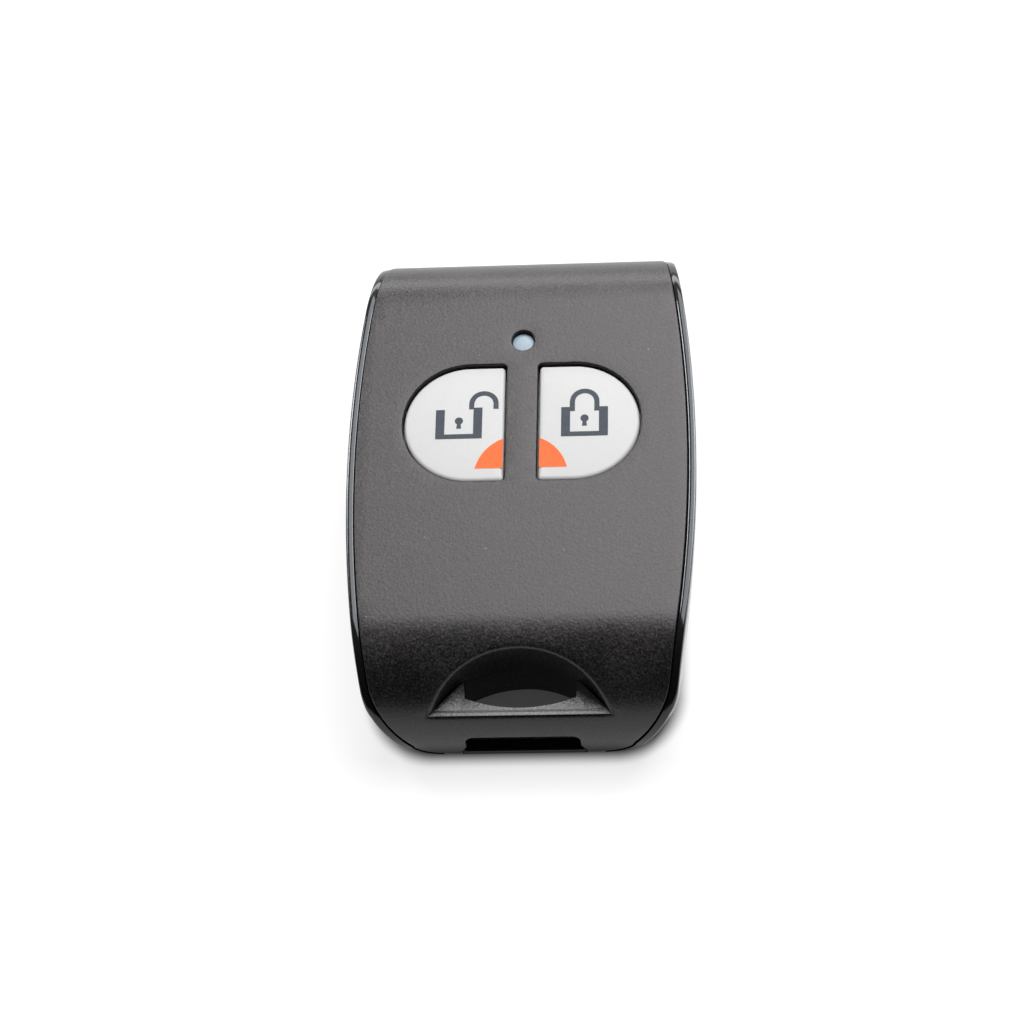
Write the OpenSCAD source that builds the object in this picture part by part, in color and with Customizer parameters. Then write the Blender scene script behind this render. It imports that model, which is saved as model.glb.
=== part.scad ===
// Two-button alarm key fob in millimetres.
// Origin at the bottom centre of the back, +Y toward the lamp end, +Z out of the front face.

/* [Case] */
// Overall width across the side cheeks at the middle
case_w = 36; // [35:0.5:40]
// Overall length
case_l = 56; // [55:0.5:62]
// Overall height
case_h = 12.5; // [12:0.25:14]
// Radius of the long barrel curve of each side
side_arc = 150; // [120:5:220]
// Corner radius seen from the front
corner_r = 3.8; // [3.4:0.1:4.4]
// Radius of the rolled top and bottom ends
roll_r = 10; // [9:0.25:10.25]
// Thickness of the front sheet
sheet_t = 1.5; // [1.2:0.1:1.7]
// Thickness of the rear floor
floor_t = 1.5; // [1.2:0.1:1.7]
// Width of the cheek edge seen beside the front sheet
cheek_w = 0.9; // [0.8:0.05:1.2]
// How far each cheek leans in from its widest line to the floor
cheek_lean = 0.9; // [0.6:0.1:1.1]
// Drop of the cheek edge below the front sheet
cheek_drop = 0.25; // [0.15:0.05:0.5]

/* [Fits] */
// Gap between the front sheet and the cheeks
seam = 0.15; // [0.12:0.01:0.25]
// Gap around each button in its opening
button_gap = 0.15; // [0.12:0.01:0.25]
// Gap around pins in their sockets
pin_gap = 0.3; // [0.25:0.05:0.4]

/* [Buttons] */
// Radius of the round outer end of each button
button_r = 6.85; // [6.25:0.05:7.25]
// Distance from the indicator to the middle of the buttons
button_from_lamp = 9.9; // [9.5:0.05:10.5]
// Width of the bridge between the two buttons
bridge_w = 3.54; // [3:0.02:5]
// Length of the straight part of each button
button_run = 3.63; // [3:0.01:4.25]
// Depth of the button face below the front face
button_drop = 0.25; // [0.1:0.05:0.4]
// Press travel
travel = 0.7; // [0.5:0.05:0.8]
// Depth of the symbols in the button face
legend_t = 0.2; // [0.15:0.05:0.3]
// Radius of the disc the two coloured marks are cut from
mark_r = 4.84; // [4.4:0.02:5.2]

/* [Indicator] */
// Distance from the lamp end of the case to the indicator
lamp_from_end = 14.15; // [13.5:0.05:14.5]
// Radius of the indicator window
lamp_r = 1.15; // [1:0.05:1.4]

/* [Key ring eye] */
// Width of the arched recess at its straight edge
eye_w = 17.8; // [16:0.2:19]
// Height of the arch above its straight edge
eye_rise = 5.6; // [5.5:0.1:6]
// Strip between the straight edge and the end of the case
eye_strip = 1.1; // [1:0.05:1.3]
// Width of the slot that goes through the case
slot_w = 11.2; // [10:0.2:12]
// Width of the sloped ring bar at its middle
bar_w = 1.05; // [1:0.05:1.2]
// Slope of the ring bar in degrees
bar_slope = 23; // [15:1:28]
// Height of the notch in the end wall
notch_h = 3.9; // [3.5:0.1:4.2]

/* [Inside] */
// Diameter of the coin cell
cell_d = 20; // [16:0.5:20]
// Thickness of the coin cell
cell_t = 3.2; // [2.5:0.1:3.2]
// Thickness of the circuit board
board_t = 1; // [0.8:0.1:1.2]
// Thickness of the keypad sheet
mat_t = 0.8; // [0.6:0.1:1]

/* [Hidden] */
$fn = 96;
eps = 0.01;
lap = 0.02;

// Case outline values
half_w = case_w / 2;
half_l = case_l / 2;
lamp_y = half_l - lamp_from_end;
button_y = lamp_y - button_from_lamp;
front_hw = half_w - cheek_w;
skirt_step = 0.8;
skirt_hw = front_hw - skirt_step;
skirt_t = 1;
sheet_low = case_h - sheet_t;
end_in = half_l - sheet_t;
roll_in = roll_r - sheet_t;
roll_y = half_l - roll_r;
roll_z = case_h - roll_r;
end_lift = 0.3;
cheek_end = 0.4;
outer_r = corner_r - 0.2;
outer_cy = half_l - outer_r;
outer_cx = half_w - side_arc + sqrt((side_arc - outer_r) * (side_arc - outer_r) - outer_cy * outer_cy);
base_rise = 6.2;
end_turn = 48;
end_pull = 1.8;
side_turn = 17;
side_pull = 1.8;
strip_t = 0.55;
wall_t = 1.2;
skirt_z = floor_t + 2.6;
skirt_y = roll_y + 4;

// Key ring eye values
eye_flat = -half_l + eye_strip;
eye_top = eye_flat + eye_rise;
eye_side_r = 3.6;
eye_half = eye_w / 2;
eye_cx = eye_half - eye_side_r;
eye_q = eye_rise - eye_side_r;
eye_big_r = eye_side_r + (eye_cx * eye_cx + eye_q * eye_q) / (2 * eye_q);
eye_wall = 1.2;
well_z = floor_t + 0.4;
bar_top_z = roll_z + sqrt(roll_r * roll_r - (roll_r - eye_strip) * (roll_r - eye_strip));
bar_step = 0.2;
slot_low = eye_flat + bar_w;
block_x = eye_half + eye_wall + 1.4;
block_y = half_l - 3.1;
slot_arc = 13.3;
slot_flare = 0.9;
notch_w = 11.6;
notch_flare = 0.7;
notch_r = 1;
lip_h = 0.9;

// Inside stack heights
contact_t = 0.2;
dimple_t = 0.2;
cell_z = floor_t + contact_t + dimple_t;
cell_top = cell_z + cell_t;
cell_r = cell_d / 2;
cell_y = eye_top + eye_wall + 1.1 + cell_r;
cup_gap = 0.15;
cup_t = 0.9;
cup_h = 0.75 * cell_t;
cup_open = 11;
under_gap = 0.5;
board_z = cell_top + under_gap;
board_top = board_z + board_t;
board_below = 9.85;
board_low_y = button_y - board_below;
board_high_y = half_l - sheet_t - 1.7;
board_hw = front_hw - 2.9;
board_cut = 4;
mat_z = board_top;
mat_top = mat_z + mat_t;
mat_hw = 12.9;
mat_hl = button_r + 0.45;

// Button stack
button_top = case_h - button_drop;
flange_w = 0.5;
flange_t = 0.75;
flange_top = sheet_low - 0.05;
flange_z = flange_top - flange_t;
button_in = bridge_w / 2;
button_cx = button_in + button_run;
press_x = 5.9;
cap_space = flange_z - mat_top;
dome_h = 0.64 * cap_space;
dome_top = mat_top + dome_h;
dome_r = 3.7;
dome_hole = 3;
dome_neck = 2.3;
dome_roof = 0.44 * dome_h;
dome_lip = 0.28 * dome_h;
pill_r = 1.5;
pad_t = 0.05;
pad_r = 2.2;
pad_split = 0.4;
pill_low = board_top + pad_t + travel + 0.03;

// Post positions
post_x = board_hw - 2.8;
post_hi_y = board_high_y - 5.3;
post_lo_y = cell_y + cell_r + 1.2;
post_r = 1.5;
pin_r = 0.75;
pin_rise = 1.4;
boss_r = pin_r + pin_gap + 0.7;
boss_lift = 0.1;

// Sizes of the small parts on the board
chip_l = 5;
chip_w = 3.9;
chip_h = 1.3;
chip_lift = 0.1;
lead_gap = 1.27;
lead_w = 0.4;
lead_l = 1;
lead_h = 0.2;
chip_x = boss_r + 0.55 + chip_l / 2 - post_x;
chip_y = board_high_y - 7.2;
crystal_l = 3.2;
crystal_w = 2.5;
crystal_h = 0.8;
crystal_x = post_x - boss_r - crystal_l - 0.45;
part_l = 1.2;
part_w = 0.6;
part_h = 0.45;
part_space = 0.4;
part_pitch = 1.35;
part_y = chip_y - 0.8;
part_x = chip_x + chip_l / 2 + part_space;
part_gap = (crystal_x - crystal_l / 2 - part_space - part_w - part_x) / 3;
coil_l = 2;
coil_w = 1.25;
loop_w = 17.2;
loop_h = 4;
loop_t = 0.9;
loop_edge = 0.5;
loop_feed = 4.4;
led_l = 1.6;
led_w = 0.8;
led_h = 0.7;
lamp_gap = 0.2;
lamp_rim = 0.9;
lamp_step = 0.6;
lamp_sink = 0.9;

// Barrel outline with rounded corners
module barrel(hw, hl, rs, rc) {
  cx = hw - rs + sqrt((rs - rc) * (rs - rc) - (hl - rc) * (hl - rc));
  cy = hl - rc;
  yt = cy * rs / (rs - rc);
  intersection() {
    translate([hw - rs, 0]) circle(r = rs, $fn = 720);
    translate([rs - hw, 0]) circle(r = rs, $fn = 720);
    square([2 * hw + 2, 2 * yt], center = true);
  }
  square([2 * cx, 2 * hl], center = true);
  for (sx = [-1, 1]) {
    for (sy = [-1, 1]) {
      translate([sx * cx, sy * (cy - lap / 2)]) circle(r = rc + lap);
    }
  }
}

// Side profile with rolled ends, drawn in length and height
module arch(hl, h, r) {
  translate([-(hl - r), 0]) square([2 * (hl - r), h]);
  translate([-hl, 0]) square([2 * hl, h - r]);
  for (s = [-1, 1]) {
    translate([s * (hl - r), h - r]) circle(r = r);
  }
}

// Side profile swept across the width
module arch_solid(hl, h, r) {
  rotate([90, 0, 90]) linear_extrude(height = case_w + 4, center = true) arch(hl, h, r);
}

// Wide disc with a leaning edge, used to lean the cheeks
module lean_disc() {
  rotate_extrude($fn = 720)
    polygon([[0, -1], [side_arc - cheek_lean, -1], [side_arc - cheek_lean, 0],
      [side_arc + 0.06, case_h], [side_arc + 0.06, case_h + 1], [0, case_h + 1]]);
}

// Both cheeks leaned
module lean_solid() {
  intersection() {
    translate([half_w - side_arc, 0, 0]) lean_disc();
    translate([side_arc - half_w, 0, 0]) lean_disc();
  }
}

// Leaning blocks that draw in the lower part of each corner
module corner_cuts(turn, pull, inset) {
  for (sx = [-1, 1]) {
    for (sy = [-1, 1]) {
      translate([sx * outer_cx, sy * outer_cy, 0]) rotate([0, 0, sy * (90 - sx * (90 - turn))])
        translate([outer_r - pull - inset, 0, 0]) rotate([0, atan(pull / base_rise), 0])
        translate([0, -2 * outer_r, -2]) cube([2 * outer_r, 4 * outer_r, case_h + 4]);
    }
  }
}

// Front sheet blank before openings
module front_sheet() {
  difference() {
    intersection() {
      linear_extrude(height = case_h + 1) barrel(front_hw, half_l, side_arc, corner_r);
      arch_solid(half_l, case_h, roll_r);
    }
    arch_solid(end_in, sheet_low, roll_in);
  }
}

// Arch of the key ring recess, straight edge at eye_flat
module eye_shape() {
  by = eye_top - eye_big_r;
  tx = eye_cx * eye_big_r / (eye_big_r - eye_side_r);
  intersection() {
    translate([0, by]) circle(r = eye_big_r, $fn = 240);
    translate([-tx, eye_flat]) square([2 * tx, eye_rise + 1]);
  }
  for (s = [-1, 1]) {
    translate([s * eye_cx, eye_flat]) circle(r = eye_side_r + 0.03);
  }
}

// Outer outline of the wall around the recess
module eye_block() {
  intersection() {
    translate([0, eye_top - eye_big_r]) circle(r = eye_big_r + eye_wall, $fn = 240);
    translate([-eye_half - eye_wall, -half_l]) square([eye_w + 2 * eye_wall, eye_rise + eye_strip + eye_wall + 1]);
  }
}

// Slot through the case, open toward the arch
module slot_shape(grow) {
  intersection() {
    translate([-slot_w / 2 - grow, slot_low - grow - 1]) square([slot_w + 2 * grow, eye_rise + 4 * grow + 2]);
    translate([0, slot_low + slot_arc]) circle(r = slot_arc + grow, $fn = 240);
  }
}

// Slot through the rear floor, wider than the one above it
module floor_slot() {
  intersection() {
    slot_shape(slot_flare);
    translate([0, eye_top - eye_big_r]) circle(r = eye_big_r + slot_flare, $fn = 240);
  }
}

// Space above the sloped floor of the recess
module above_slope() {
  translate([0, eye_flat, bar_top_z - bar_step]) rotate([-bar_slope, 0, 0])
    translate([-eye_w, -eye_strip, 0]) cube([2 * eye_w, half_l, 2 * case_h]);
}

// Notch in the end wall, with round upper corners
module notch() {
  rotate([90, 0, 0]) translate([0, 0, half_l - sheet_t - 2]) linear_extrude(height = sheet_t + 4) {
    translate([-notch_w / 2 + notch_r, -1]) square([notch_w - 2 * notch_r, notch_h + 1]);
    translate([-notch_w / 2, -1]) square([notch_w, notch_h + 1 - notch_r]);
    for (s = [-1, 1]) {
      translate([s * (notch_w / 2 - notch_r), notch_h - notch_r]) circle(r = notch_r, $fn = 48);
    }
    polygon([[-notch_w / 2 - notch_flare, -1], [notch_w / 2 + notch_flare, -1],
      [notch_w / 2 + notch_flare, 0], [notch_w / 2, notch_h - 2 * notch_r],
      [-notch_w / 2, notch_h - 2 * notch_r], [-notch_w / 2 - notch_flare, 0]]);
  }
}

// Button outline for the right side
module button_shape(grow) {
  translate([button_cx, button_y]) circle(r = button_r + grow, $fn = 192);
  translate([button_in - grow, button_y - button_r - grow])
    square([button_run + grow, 2 * button_r + 2 * grow]);
}

// Button outline limited to its own side
module button_plan(side, grow) {
  mirror([side < 0 ? 1 : 0, 0]) intersection() {
    button_shape(grow);
    translate([button_in - grow, button_y - half_w]) square([half_w, case_w]);
  }
}

// Space between the cheeks, with a solid block left in each corner
module cavity() {
  intersection() {
    barrel(skirt_hw + seam, half_l + corner_r, side_arc, corner_r);
    square([case_w, 2 * block_y], center = true);
  }
  square([2 * block_x, 2 * end_in], center = true);
}

// Rear cover with cheeks, rim, cup and posts
module rear_cover() {
  color([0.03, 0.03, 0.035])
  difference() {
    union() {
      difference() {
        intersection() {
          linear_extrude(height = case_h) barrel(half_w, half_l, side_arc, outer_r);
          translate([-half_w - 1, -half_l + cheek_end, -1])
            cube([case_w + 2, case_l - 2 * cheek_end, case_h + 2]);
          arch_solid(half_l, case_h - cheek_drop, roll_r);
          lean_solid();
        }
        corner_cuts(end_turn, end_pull, 0);
        corner_cuts(side_turn, side_pull, 0);
        difference() {
          translate([0, 0, -1]) linear_extrude(height = case_h + 2)
            barrel(front_hw + seam, half_l + seam, side_arc, corner_r + seam);
          arch_solid(end_in - seam, sheet_low - seam, roll_in - seam);
          corner_cuts(end_turn, end_pull, strip_t);
        }
        translate([0, 0, floor_t]) linear_extrude(height = case_h) cavity();
      }
      linear_extrude(height = floor_t)
        barrel(front_hw - wall_t - seam, end_in - seam, side_arc, corner_r - wall_t);
      difference() {
        translate([0, cell_y, 0]) cylinder(r = cell_r + cup_gap + cup_t, h = floor_t + cup_h);
        translate([0, cell_y, floor_t]) cylinder(r = cell_r + cup_gap, h = cup_h + 1);
        translate([-cup_open / 2, cell_y - cell_r - 3, floor_t]) cube([cup_open, 8, cup_h + 1]);
        translate([-strip_w / 2 - 0.8, cell_y, floor_t]) cube([strip_w + 1.6, cell_r + 3, cup_h + 1]);
        translate([-half_w, -half_l, -1]) cube([case_w, eye_top + half_l + 0.6, floor_t + 1]);
      }
      for (s = [-1, 1]) {
        translate([s * post_x, post_hi_y, 0]) cylinder(r = post_r, h = board_z, $fn = 48);
        translate([s * post_x, post_hi_y, 0]) cylinder(r = pin_r, h = board_top + pin_rise, $fn = 48);
        translate([s * post_x, post_lo_y, 0]) cylinder(r = post_r, h = board_z, $fn = 48);
        translate([s * post_x, post_lo_y, 0]) cylinder(r = pin_r, h = board_top, $fn = 48);
      }
      translate([-notch_w / 2 + 0.25, -half_l, 0])
        cube([notch_w - 0.5, sheet_t + seam + 1, lip_h]);
    }
    translate([0, 0, -1]) linear_extrude(height = floor_t + 2) floor_slot();
  }
}

// Front cover with well, bosses and openings
module front_cover() {
  color([0.12, 0.12, 0.12])
  difference() {
    union() {
      front_sheet();
      intersection() {
        difference() {
          translate([0, 0, skirt_z]) linear_extrude(height = case_h)
            barrel(skirt_hw, half_l, side_arc, corner_r);
          translate([0, 0, skirt_z - 1]) linear_extrude(height = case_h + 2)
            barrel(skirt_hw - skirt_t, half_l + 2, side_arc, corner_r);
        }
        arch_solid(half_l - 0.5, case_h - 0.5, roll_r - 0.5);
        translate([-half_w, -skirt_y, 0]) cube([case_w, 2 * skirt_y, case_h]);
      }
      intersection() {
        translate([0, 0, well_z]) linear_extrude(height = case_h) eye_block();
        arch_solid(half_l - 0.5, case_h - 0.5, roll_r - 0.5);
      }
      for (s = [-1, 1]) {
        intersection() {
          translate([s * post_x, post_hi_y, board_top + boss_lift]) cylinder(r = boss_r, h = case_h, $fn = 48);
          arch_solid(half_l - 0.5, case_h - 0.5, roll_r - 0.5);
        }
      }
    }
    intersection() {
      translate([0, 0, -1]) linear_extrude(height = case_h + 2) intersection() {
        eye_shape();
        translate([-half_w, eye_flat]) square([case_w, eye_rise + 2]);
      }
      union() {
        above_slope();
        translate([0, 0, -2]) linear_extrude(height = case_h + 4) slot_shape(0);
      }
    }
    translate([-slot_w / 2, -half_l + sheet_t - 0.2, -1]) cube([slot_w, eye_strip + bar_w + 0.4, notch_h + 1]);
    notch();
    for (s = [-1, 1]) {
      translate([0, 0, sheet_low - 1]) linear_extrude(height = sheet_t + 2) button_plan(s, button_gap);
      translate([s * post_x, post_hi_y, board_top - 1]) cylinder(r = pin_r + pin_gap, h = 1 + pin_rise + pin_gap, $fn = 48);
    }
    translate([0, lamp_y, sheet_low - 1]) cylinder(r = lamp_r + 0.05, h = sheet_t + 2, $fn = 48);
    translate([-half_w, -half_l - 1, -1]) cube([case_w, case_l + 2, 1 + end_lift]);
    corner_cuts(end_turn, end_pull, strip_t + seam);
  }
}

// Window of the indicator with its stem
module light_pipe() {
  color([0.72, 0.78, 0.84])
  translate([0, lamp_y, 0]) {
    translate([0, 0, board_top + led_h + lamp_gap])
      cylinder(r = lamp_r, h = case_h - lamp_sink - board_top - led_h - lamp_gap, $fn = 48);
    translate([0, 0, sheet_low - lamp_rim]) cylinder(r = lamp_r + lamp_step, h = lamp_rim, $fn = 48);
  }
}

// One cap with its flange and plunger
module cap(side) {
  difference() {
    union() {
      translate([0, 0, flange_z]) linear_extrude(height = button_top - flange_z) button_plan(side, 0);
      translate([0, 0, flange_z]) linear_extrude(height = flange_t) button_plan(side, flange_w);
      translate([side * press_x, button_y, dome_top])
        cylinder(r = dome_neck, h = button_top - dome_top - 0.6, $fn = 48);
    }
    translate([0, 0, button_top - legend_t]) linear_extrude(height = 1) {
      if (side < 0) open_lock();
      if (side > 0) closed_lock();
    }
    translate([0, 0, button_top - legend_t]) linear_extrude(height = 1) quarter(side);
  }
}

// Left cap
module unlock_button() {
  color([0.87, 0.87, 0.87]) cap(-1);
}

// Right cap
module lock_button() {
  color([0.87, 0.87, 0.87]) cap(1);
}

// Symbol sizes
lock_w = 4.85;
lock_h = 3.5;
lock_side = 0.93;
lock_base = 0.55;
hoop_r = 1.54;
hoop_t = 0.54;
hoop_leg = 0.63;
key_r = 0.43;
key_len = 0.92;
lock_x = 6.52;
lock_y = button_y;
lock_tall = 0.2;
mark_edge = 0.12;
mark_low = 1.5;
mark_sink = 0.95;

// Body of the padlock symbols around its centre
module lock_body() {
  translate([-lock_w / 2, -lock_h / 2]) square([lock_side, lock_h]);
  translate([lock_w / 2 - lock_side, -lock_h / 2]) square([lock_side, lock_h]);
  translate([-lock_w / 2, -lock_h / 2]) square([lock_w, lock_base]);
  translate([0, 0.38]) circle(r = key_r, $fn = 32);
  polygon([[-0.16, 0.3], [0.16, 0.3], [0.26, 0.38 - key_len], [-0.26, 0.38 - key_len]]);
}

// Shackle hoop, open at the bottom, legs down to zero
module hoop(left_leg, right_leg) {
  intersection() {
    difference() {
      circle(r = hoop_r, $fn = 64);
      circle(r = hoop_r - hoop_t, $fn = 64);
    }
    translate([-3, 0]) square([6, 3]);
  }
  translate([-hoop_r, -left_leg]) square([hoop_t, left_leg + eps]);
  translate([hoop_r - hoop_t, -right_leg]) square([hoop_t, right_leg + eps]);
}

// Closed padlock on the right cap
module closed_lock() {
  translate([lock_x, lock_y]) {
    lock_body();
    translate([0, lock_h / 2 + hoop_leg]) hoop(hoop_leg + 0.5, hoop_leg + 0.5);
  }
}

// Open padlock on the left cap
module open_lock() {
  translate([-lock_x, lock_y]) {
    lock_body();
    translate([lock_w / 2 - lock_side, 0]) square([lock_side, lock_h / 2 + lock_tall]);
    translate([lock_w / 2 - lock_side - hoop_t + hoop_r + 0.06, lock_h / 2 + hoop_leg]) hoop(hoop_leg, hoop_leg);
  }
}

// Part of the centre disc that falls on a cap
module quarter(side) {
  mirror([side < 0 ? 1 : 0, 0]) intersection() {
    translate([0, button_y - button_r + mark_low - mark_sink]) circle(r = mark_r, $fn = 96);
    translate([button_in + mark_edge, button_y - button_r + mark_low]) square([mark_r + 1, mark_r + 1]);
  }
}

// Open padlock inlay
module unlock_legend() {
  color([0.1, 0.11, 0.13])
  translate([0, 0, button_top - legend_t]) linear_extrude(height = legend_t) open_lock();
}

// Closed padlock inlay
module lock_legend() {
  color([0.1, 0.11, 0.13])
  translate([0, 0, button_top - legend_t]) linear_extrude(height = legend_t) closed_lock();
}

// Left coloured mark
module unlock_mark() {
  color([0.95, 0.24, 0.08])
  translate([0, 0, button_top - legend_t]) linear_extrude(height = legend_t) quarter(-1);
}

// Right coloured mark
module lock_mark() {
  color([0.95, 0.24, 0.08])
  translate([0, 0, button_top - legend_t]) linear_extrude(height = legend_t) quarter(1);
}

// Keypad sheet with a hole under each dome
module keypad_mat() {
  color([0.55, 0.56, 0.58])
  difference() {
    translate([-mat_hw, button_y - mat_hl, mat_z]) cube([2 * mat_hw, 2 * mat_hl, mat_t]);
    for (s = [-1, 1]) {
      translate([s * press_x, button_y, mat_z - 1]) cylinder(r = dome_hole, h = mat_t + 2, $fn = 64);
    }
  }
}

// Dome that returns a cap
module dome(side) {
  translate([side * press_x, button_y, 0]) rotate_extrude($fn = 64)
    polygon([[0, dome_top - dome_roof], [dome_neck - 0.5, dome_top - dome_roof], [dome_hole, mat_top],
      [dome_r, mat_top], [dome_neck, dome_top - dome_lip], [dome_neck, dome_top], [0, dome_top]]);
}

// Left dome
module unlock_dome() {
  color([0.6, 0.61, 0.63]) dome(-1);
}

// Right dome
module lock_dome() {
  color([0.6, 0.61, 0.63]) dome(1);
}

// Carbon pill under a dome
module pill(side) {
  translate([side * press_x, button_y, pill_low])
    cylinder(r = pill_r, h = dome_top - dome_roof - pill_low, $fn = 48);
}

// Left pill
module unlock_pill() {
  color([0.08, 0.08, 0.08]) pill(-1);
}

// Right pill
module lock_pill() {
  color([0.08, 0.08, 0.08]) pill(1);
}

// Circuit board with pin holes
module circuit_board() {
  color([0.05, 0.25, 0.12])
  difference() {
    translate([0, 0, board_z]) linear_extrude(height = board_t) intersection() {
      translate([board_hw - side_arc, 0]) circle(r = side_arc, $fn = 720);
      translate([side_arc - board_hw, 0]) circle(r = side_arc, $fn = 720);
      polygon([[-half_w, board_low_y], [half_w, board_low_y], [half_w, board_high_y - board_cut],
        [board_hw - board_cut, board_high_y], [board_cut - board_hw, board_high_y],
        [-half_w, board_high_y - board_cut]]);
    }
    for (s = [-1, 1]) {
      translate([s * post_x, post_hi_y, board_z - 1]) cylinder(r = pin_r + 0.1, h = board_t + 2, $fn = 48);
      translate([s * post_x, post_lo_y, board_z - 1]) cylinder(r = pin_r + 0.1, h = board_t + 2, $fn = 48);
    }
  }
}

// Split contact pads under the pills
module contact_pads() {
  color([0.85, 0.65, 0.25])
  for (s = [-1, 1]) {
    difference() {
      translate([s * press_x, button_y, board_top]) cylinder(r = pad_r, h = pad_t, $fn = 64);
      translate([s * press_x - pad_split / 2, button_y - pad_r - 1, board_top - 1])
        cube([pad_split, 2 * pad_r + 2, pad_t + 2]);
    }
  }
}

// Small lamp under the window
module indicator_led() {
  color([0.9, 0.9, 0.8])
  translate([-led_l / 2, lamp_y - led_w / 2, board_top]) cube([led_l, led_w, led_h]);
}

// Controller body
module controller_chip() {
  color([0.05, 0.05, 0.05])
  translate([chip_x - chip_l / 2, chip_y - chip_w / 2, board_top + chip_lift]) cube([chip_l, chip_w, chip_h]);
}

// Controller leads on both long sides
module controller_leads() {
  color([0.75, 0.75, 0.76])
  for (i = [0:3]) {
    for (s = [-1, 1]) {
      translate([chip_x + (i - 1.5) * lead_gap - lead_w / 2, chip_y + s * (chip_w + lead_l) / 2 - lead_l / 2, board_top])
        cube([lead_w, lead_l, lead_h]);
    }
  }
}

// Frequency reference in its metal can
module crystal_can() {
  color([0.78, 0.77, 0.74])
  translate([crystal_x - crystal_l / 2, chip_y - crystal_w / 2, board_top]) cube([crystal_l, crystal_w, crystal_h]);
}

// Printed loop at the lamp end of the board
module antenna_loop() {
  color([0.8, 0.6, 0.25])
  translate([0, board_high_y - loop_edge - loop_h, board_top]) {
    difference() {
      translate([-loop_w / 2, 0, 0]) cube([loop_w, loop_h, pad_t]);
      translate([-loop_w / 2 + loop_t, loop_t, -1]) cube([loop_w - 2 * loop_t, loop_h - 2 * loop_t, pad_t + 2]);
      translate([-loop_feed / 2, -1, -1]) cube([loop_feed, loop_t + 2, pad_t + 2]);
    }
  }
}

// Small resistors and capacitors
module chip_parts() {
  color([0.3, 0.22, 0.14])
  translate([0, 0, board_top]) {
    for (i = [0:3]) {
      translate([part_x + i * part_gap, part_y, 0]) cube([part_w, part_l, part_h]);
    }
    for (i = [0:1]) {
      translate([crystal_x + crystal_l / 2 + (i + 0.5) * part_pitch, part_y, 0]) cube([part_w, part_l, part_h]);
      translate([-led_l / 2 - (i + 1) * (part_l + part_space), lamp_y - part_w / 2, 0]) cube([part_l, part_w, part_h]);
    }
    translate([crystal_x, lamp_y - coil_w / 2, 0]) cube([coil_l, coil_w, 2 * part_h]);
  }
}

seal_t = 0.45;
cap_r = cell_r - 1.4;
cap_h = 0.8;
can_lift = 0.2;
can_edge = 0.3;

// Coin cell can, plain face up
module cell_can() {
  color([0.78, 0.78, 0.79])
  translate([0, cell_y, 0]) rotate_extrude($fn = 128)
    polygon([[0, cell_z + cap_h], [cap_r + seal_t, cell_z + cap_h],
      [cap_r + seal_t, cell_z + can_lift], [cell_r - can_edge, cell_z + can_lift], [cell_r, cell_z + can_lift + can_edge],
      [cell_r, cell_top - can_edge], [cell_r - can_edge, cell_top], [0, cell_top]]);
}

// Ring that keeps the two cell halves apart
module cell_seal() {
  color([0.2, 0.2, 0.22])
  translate([0, cell_y, 0]) difference() {
    translate([0, 0, cell_z + can_lift / 2]) cylinder(r = cap_r + seal_t, h = cap_h - can_lift / 2, $fn = 128);
    translate([0, 0, cell_z - 1]) cylinder(r = cap_r, h = 3, $fn = 128);
  }
}

// Lower face of the coin cell
module cell_cap() {
  color([0.75, 0.75, 0.76])
  translate([0, cell_y, cell_z]) cylinder(r = cap_r, h = cap_h, $fn = 128);
}

clip_t = 0.2;
clip_w = 2.2;
clip_x = 3;
clip_foot = 1.8;
clip_gap = 0.3;
clip_reach = 4.5;
strip_w = 3.2;
strip_tail = 3;
leg_out = 2.4;
dimple_r = 1.2;

// Sprung contact from the board onto the cell
module positive_clip() {
  bend_y = board_low_y - clip_gap;
  color([0.82, 0.76, 0.6])
  for (s = [-1, 1]) {
    translate([s * clip_x - clip_w / 2, 0, 0]) rotate([90, 0, 90]) linear_extrude(height = clip_w)
      polygon([[board_low_y + clip_foot, board_top], [board_low_y + clip_foot, board_top + clip_t],
        [bend_y - clip_t, board_top + clip_t], [bend_y - clip_t, cell_top + clip_t],
        [bend_y - clip_reach, cell_top + clip_t], [bend_y - clip_reach, cell_top],
        [bend_y, cell_top], [bend_y, board_top]]);
  }
}

// Contact strip under the cell with its leg up to the board
module negative_contact() {
  leg_y = cell_y + cell_r + leg_out;
  color([0.82, 0.76, 0.6]) {
    translate([-strip_w / 2, cell_y - strip_tail, floor_t]) cube([strip_w, cell_r + leg_out + strip_tail, contact_t]);
    translate([-strip_w / 2, leg_y - contact_t, floor_t]) cube([strip_w, contact_t, board_z - floor_t]);
    translate([0, cell_y, floor_t]) cylinder(r = dimple_r, h = contact_t + dimple_t, $fn = 48);
  }
}

rear_cover();
front_cover();
light_pipe();
unlock_button();
lock_button();
unlock_legend();
lock_legend();
unlock_mark();
lock_mark();
keypad_mat();
unlock_dome();
lock_dome();
unlock_pill();
lock_pill();
circuit_board();
contact_pads();
indicator_led();
controller_chip();
controller_leads();
crystal_can();
antenna_loop();
chip_parts();
cell_can();
cell_seal();
cell_cap();
positive_clip();
negative_contact();
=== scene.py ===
import math
import bpy
import bmesh
from mathutils import Matrix, Vector
from mathutils.geometry import delaunay_2d_cdt


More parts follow.
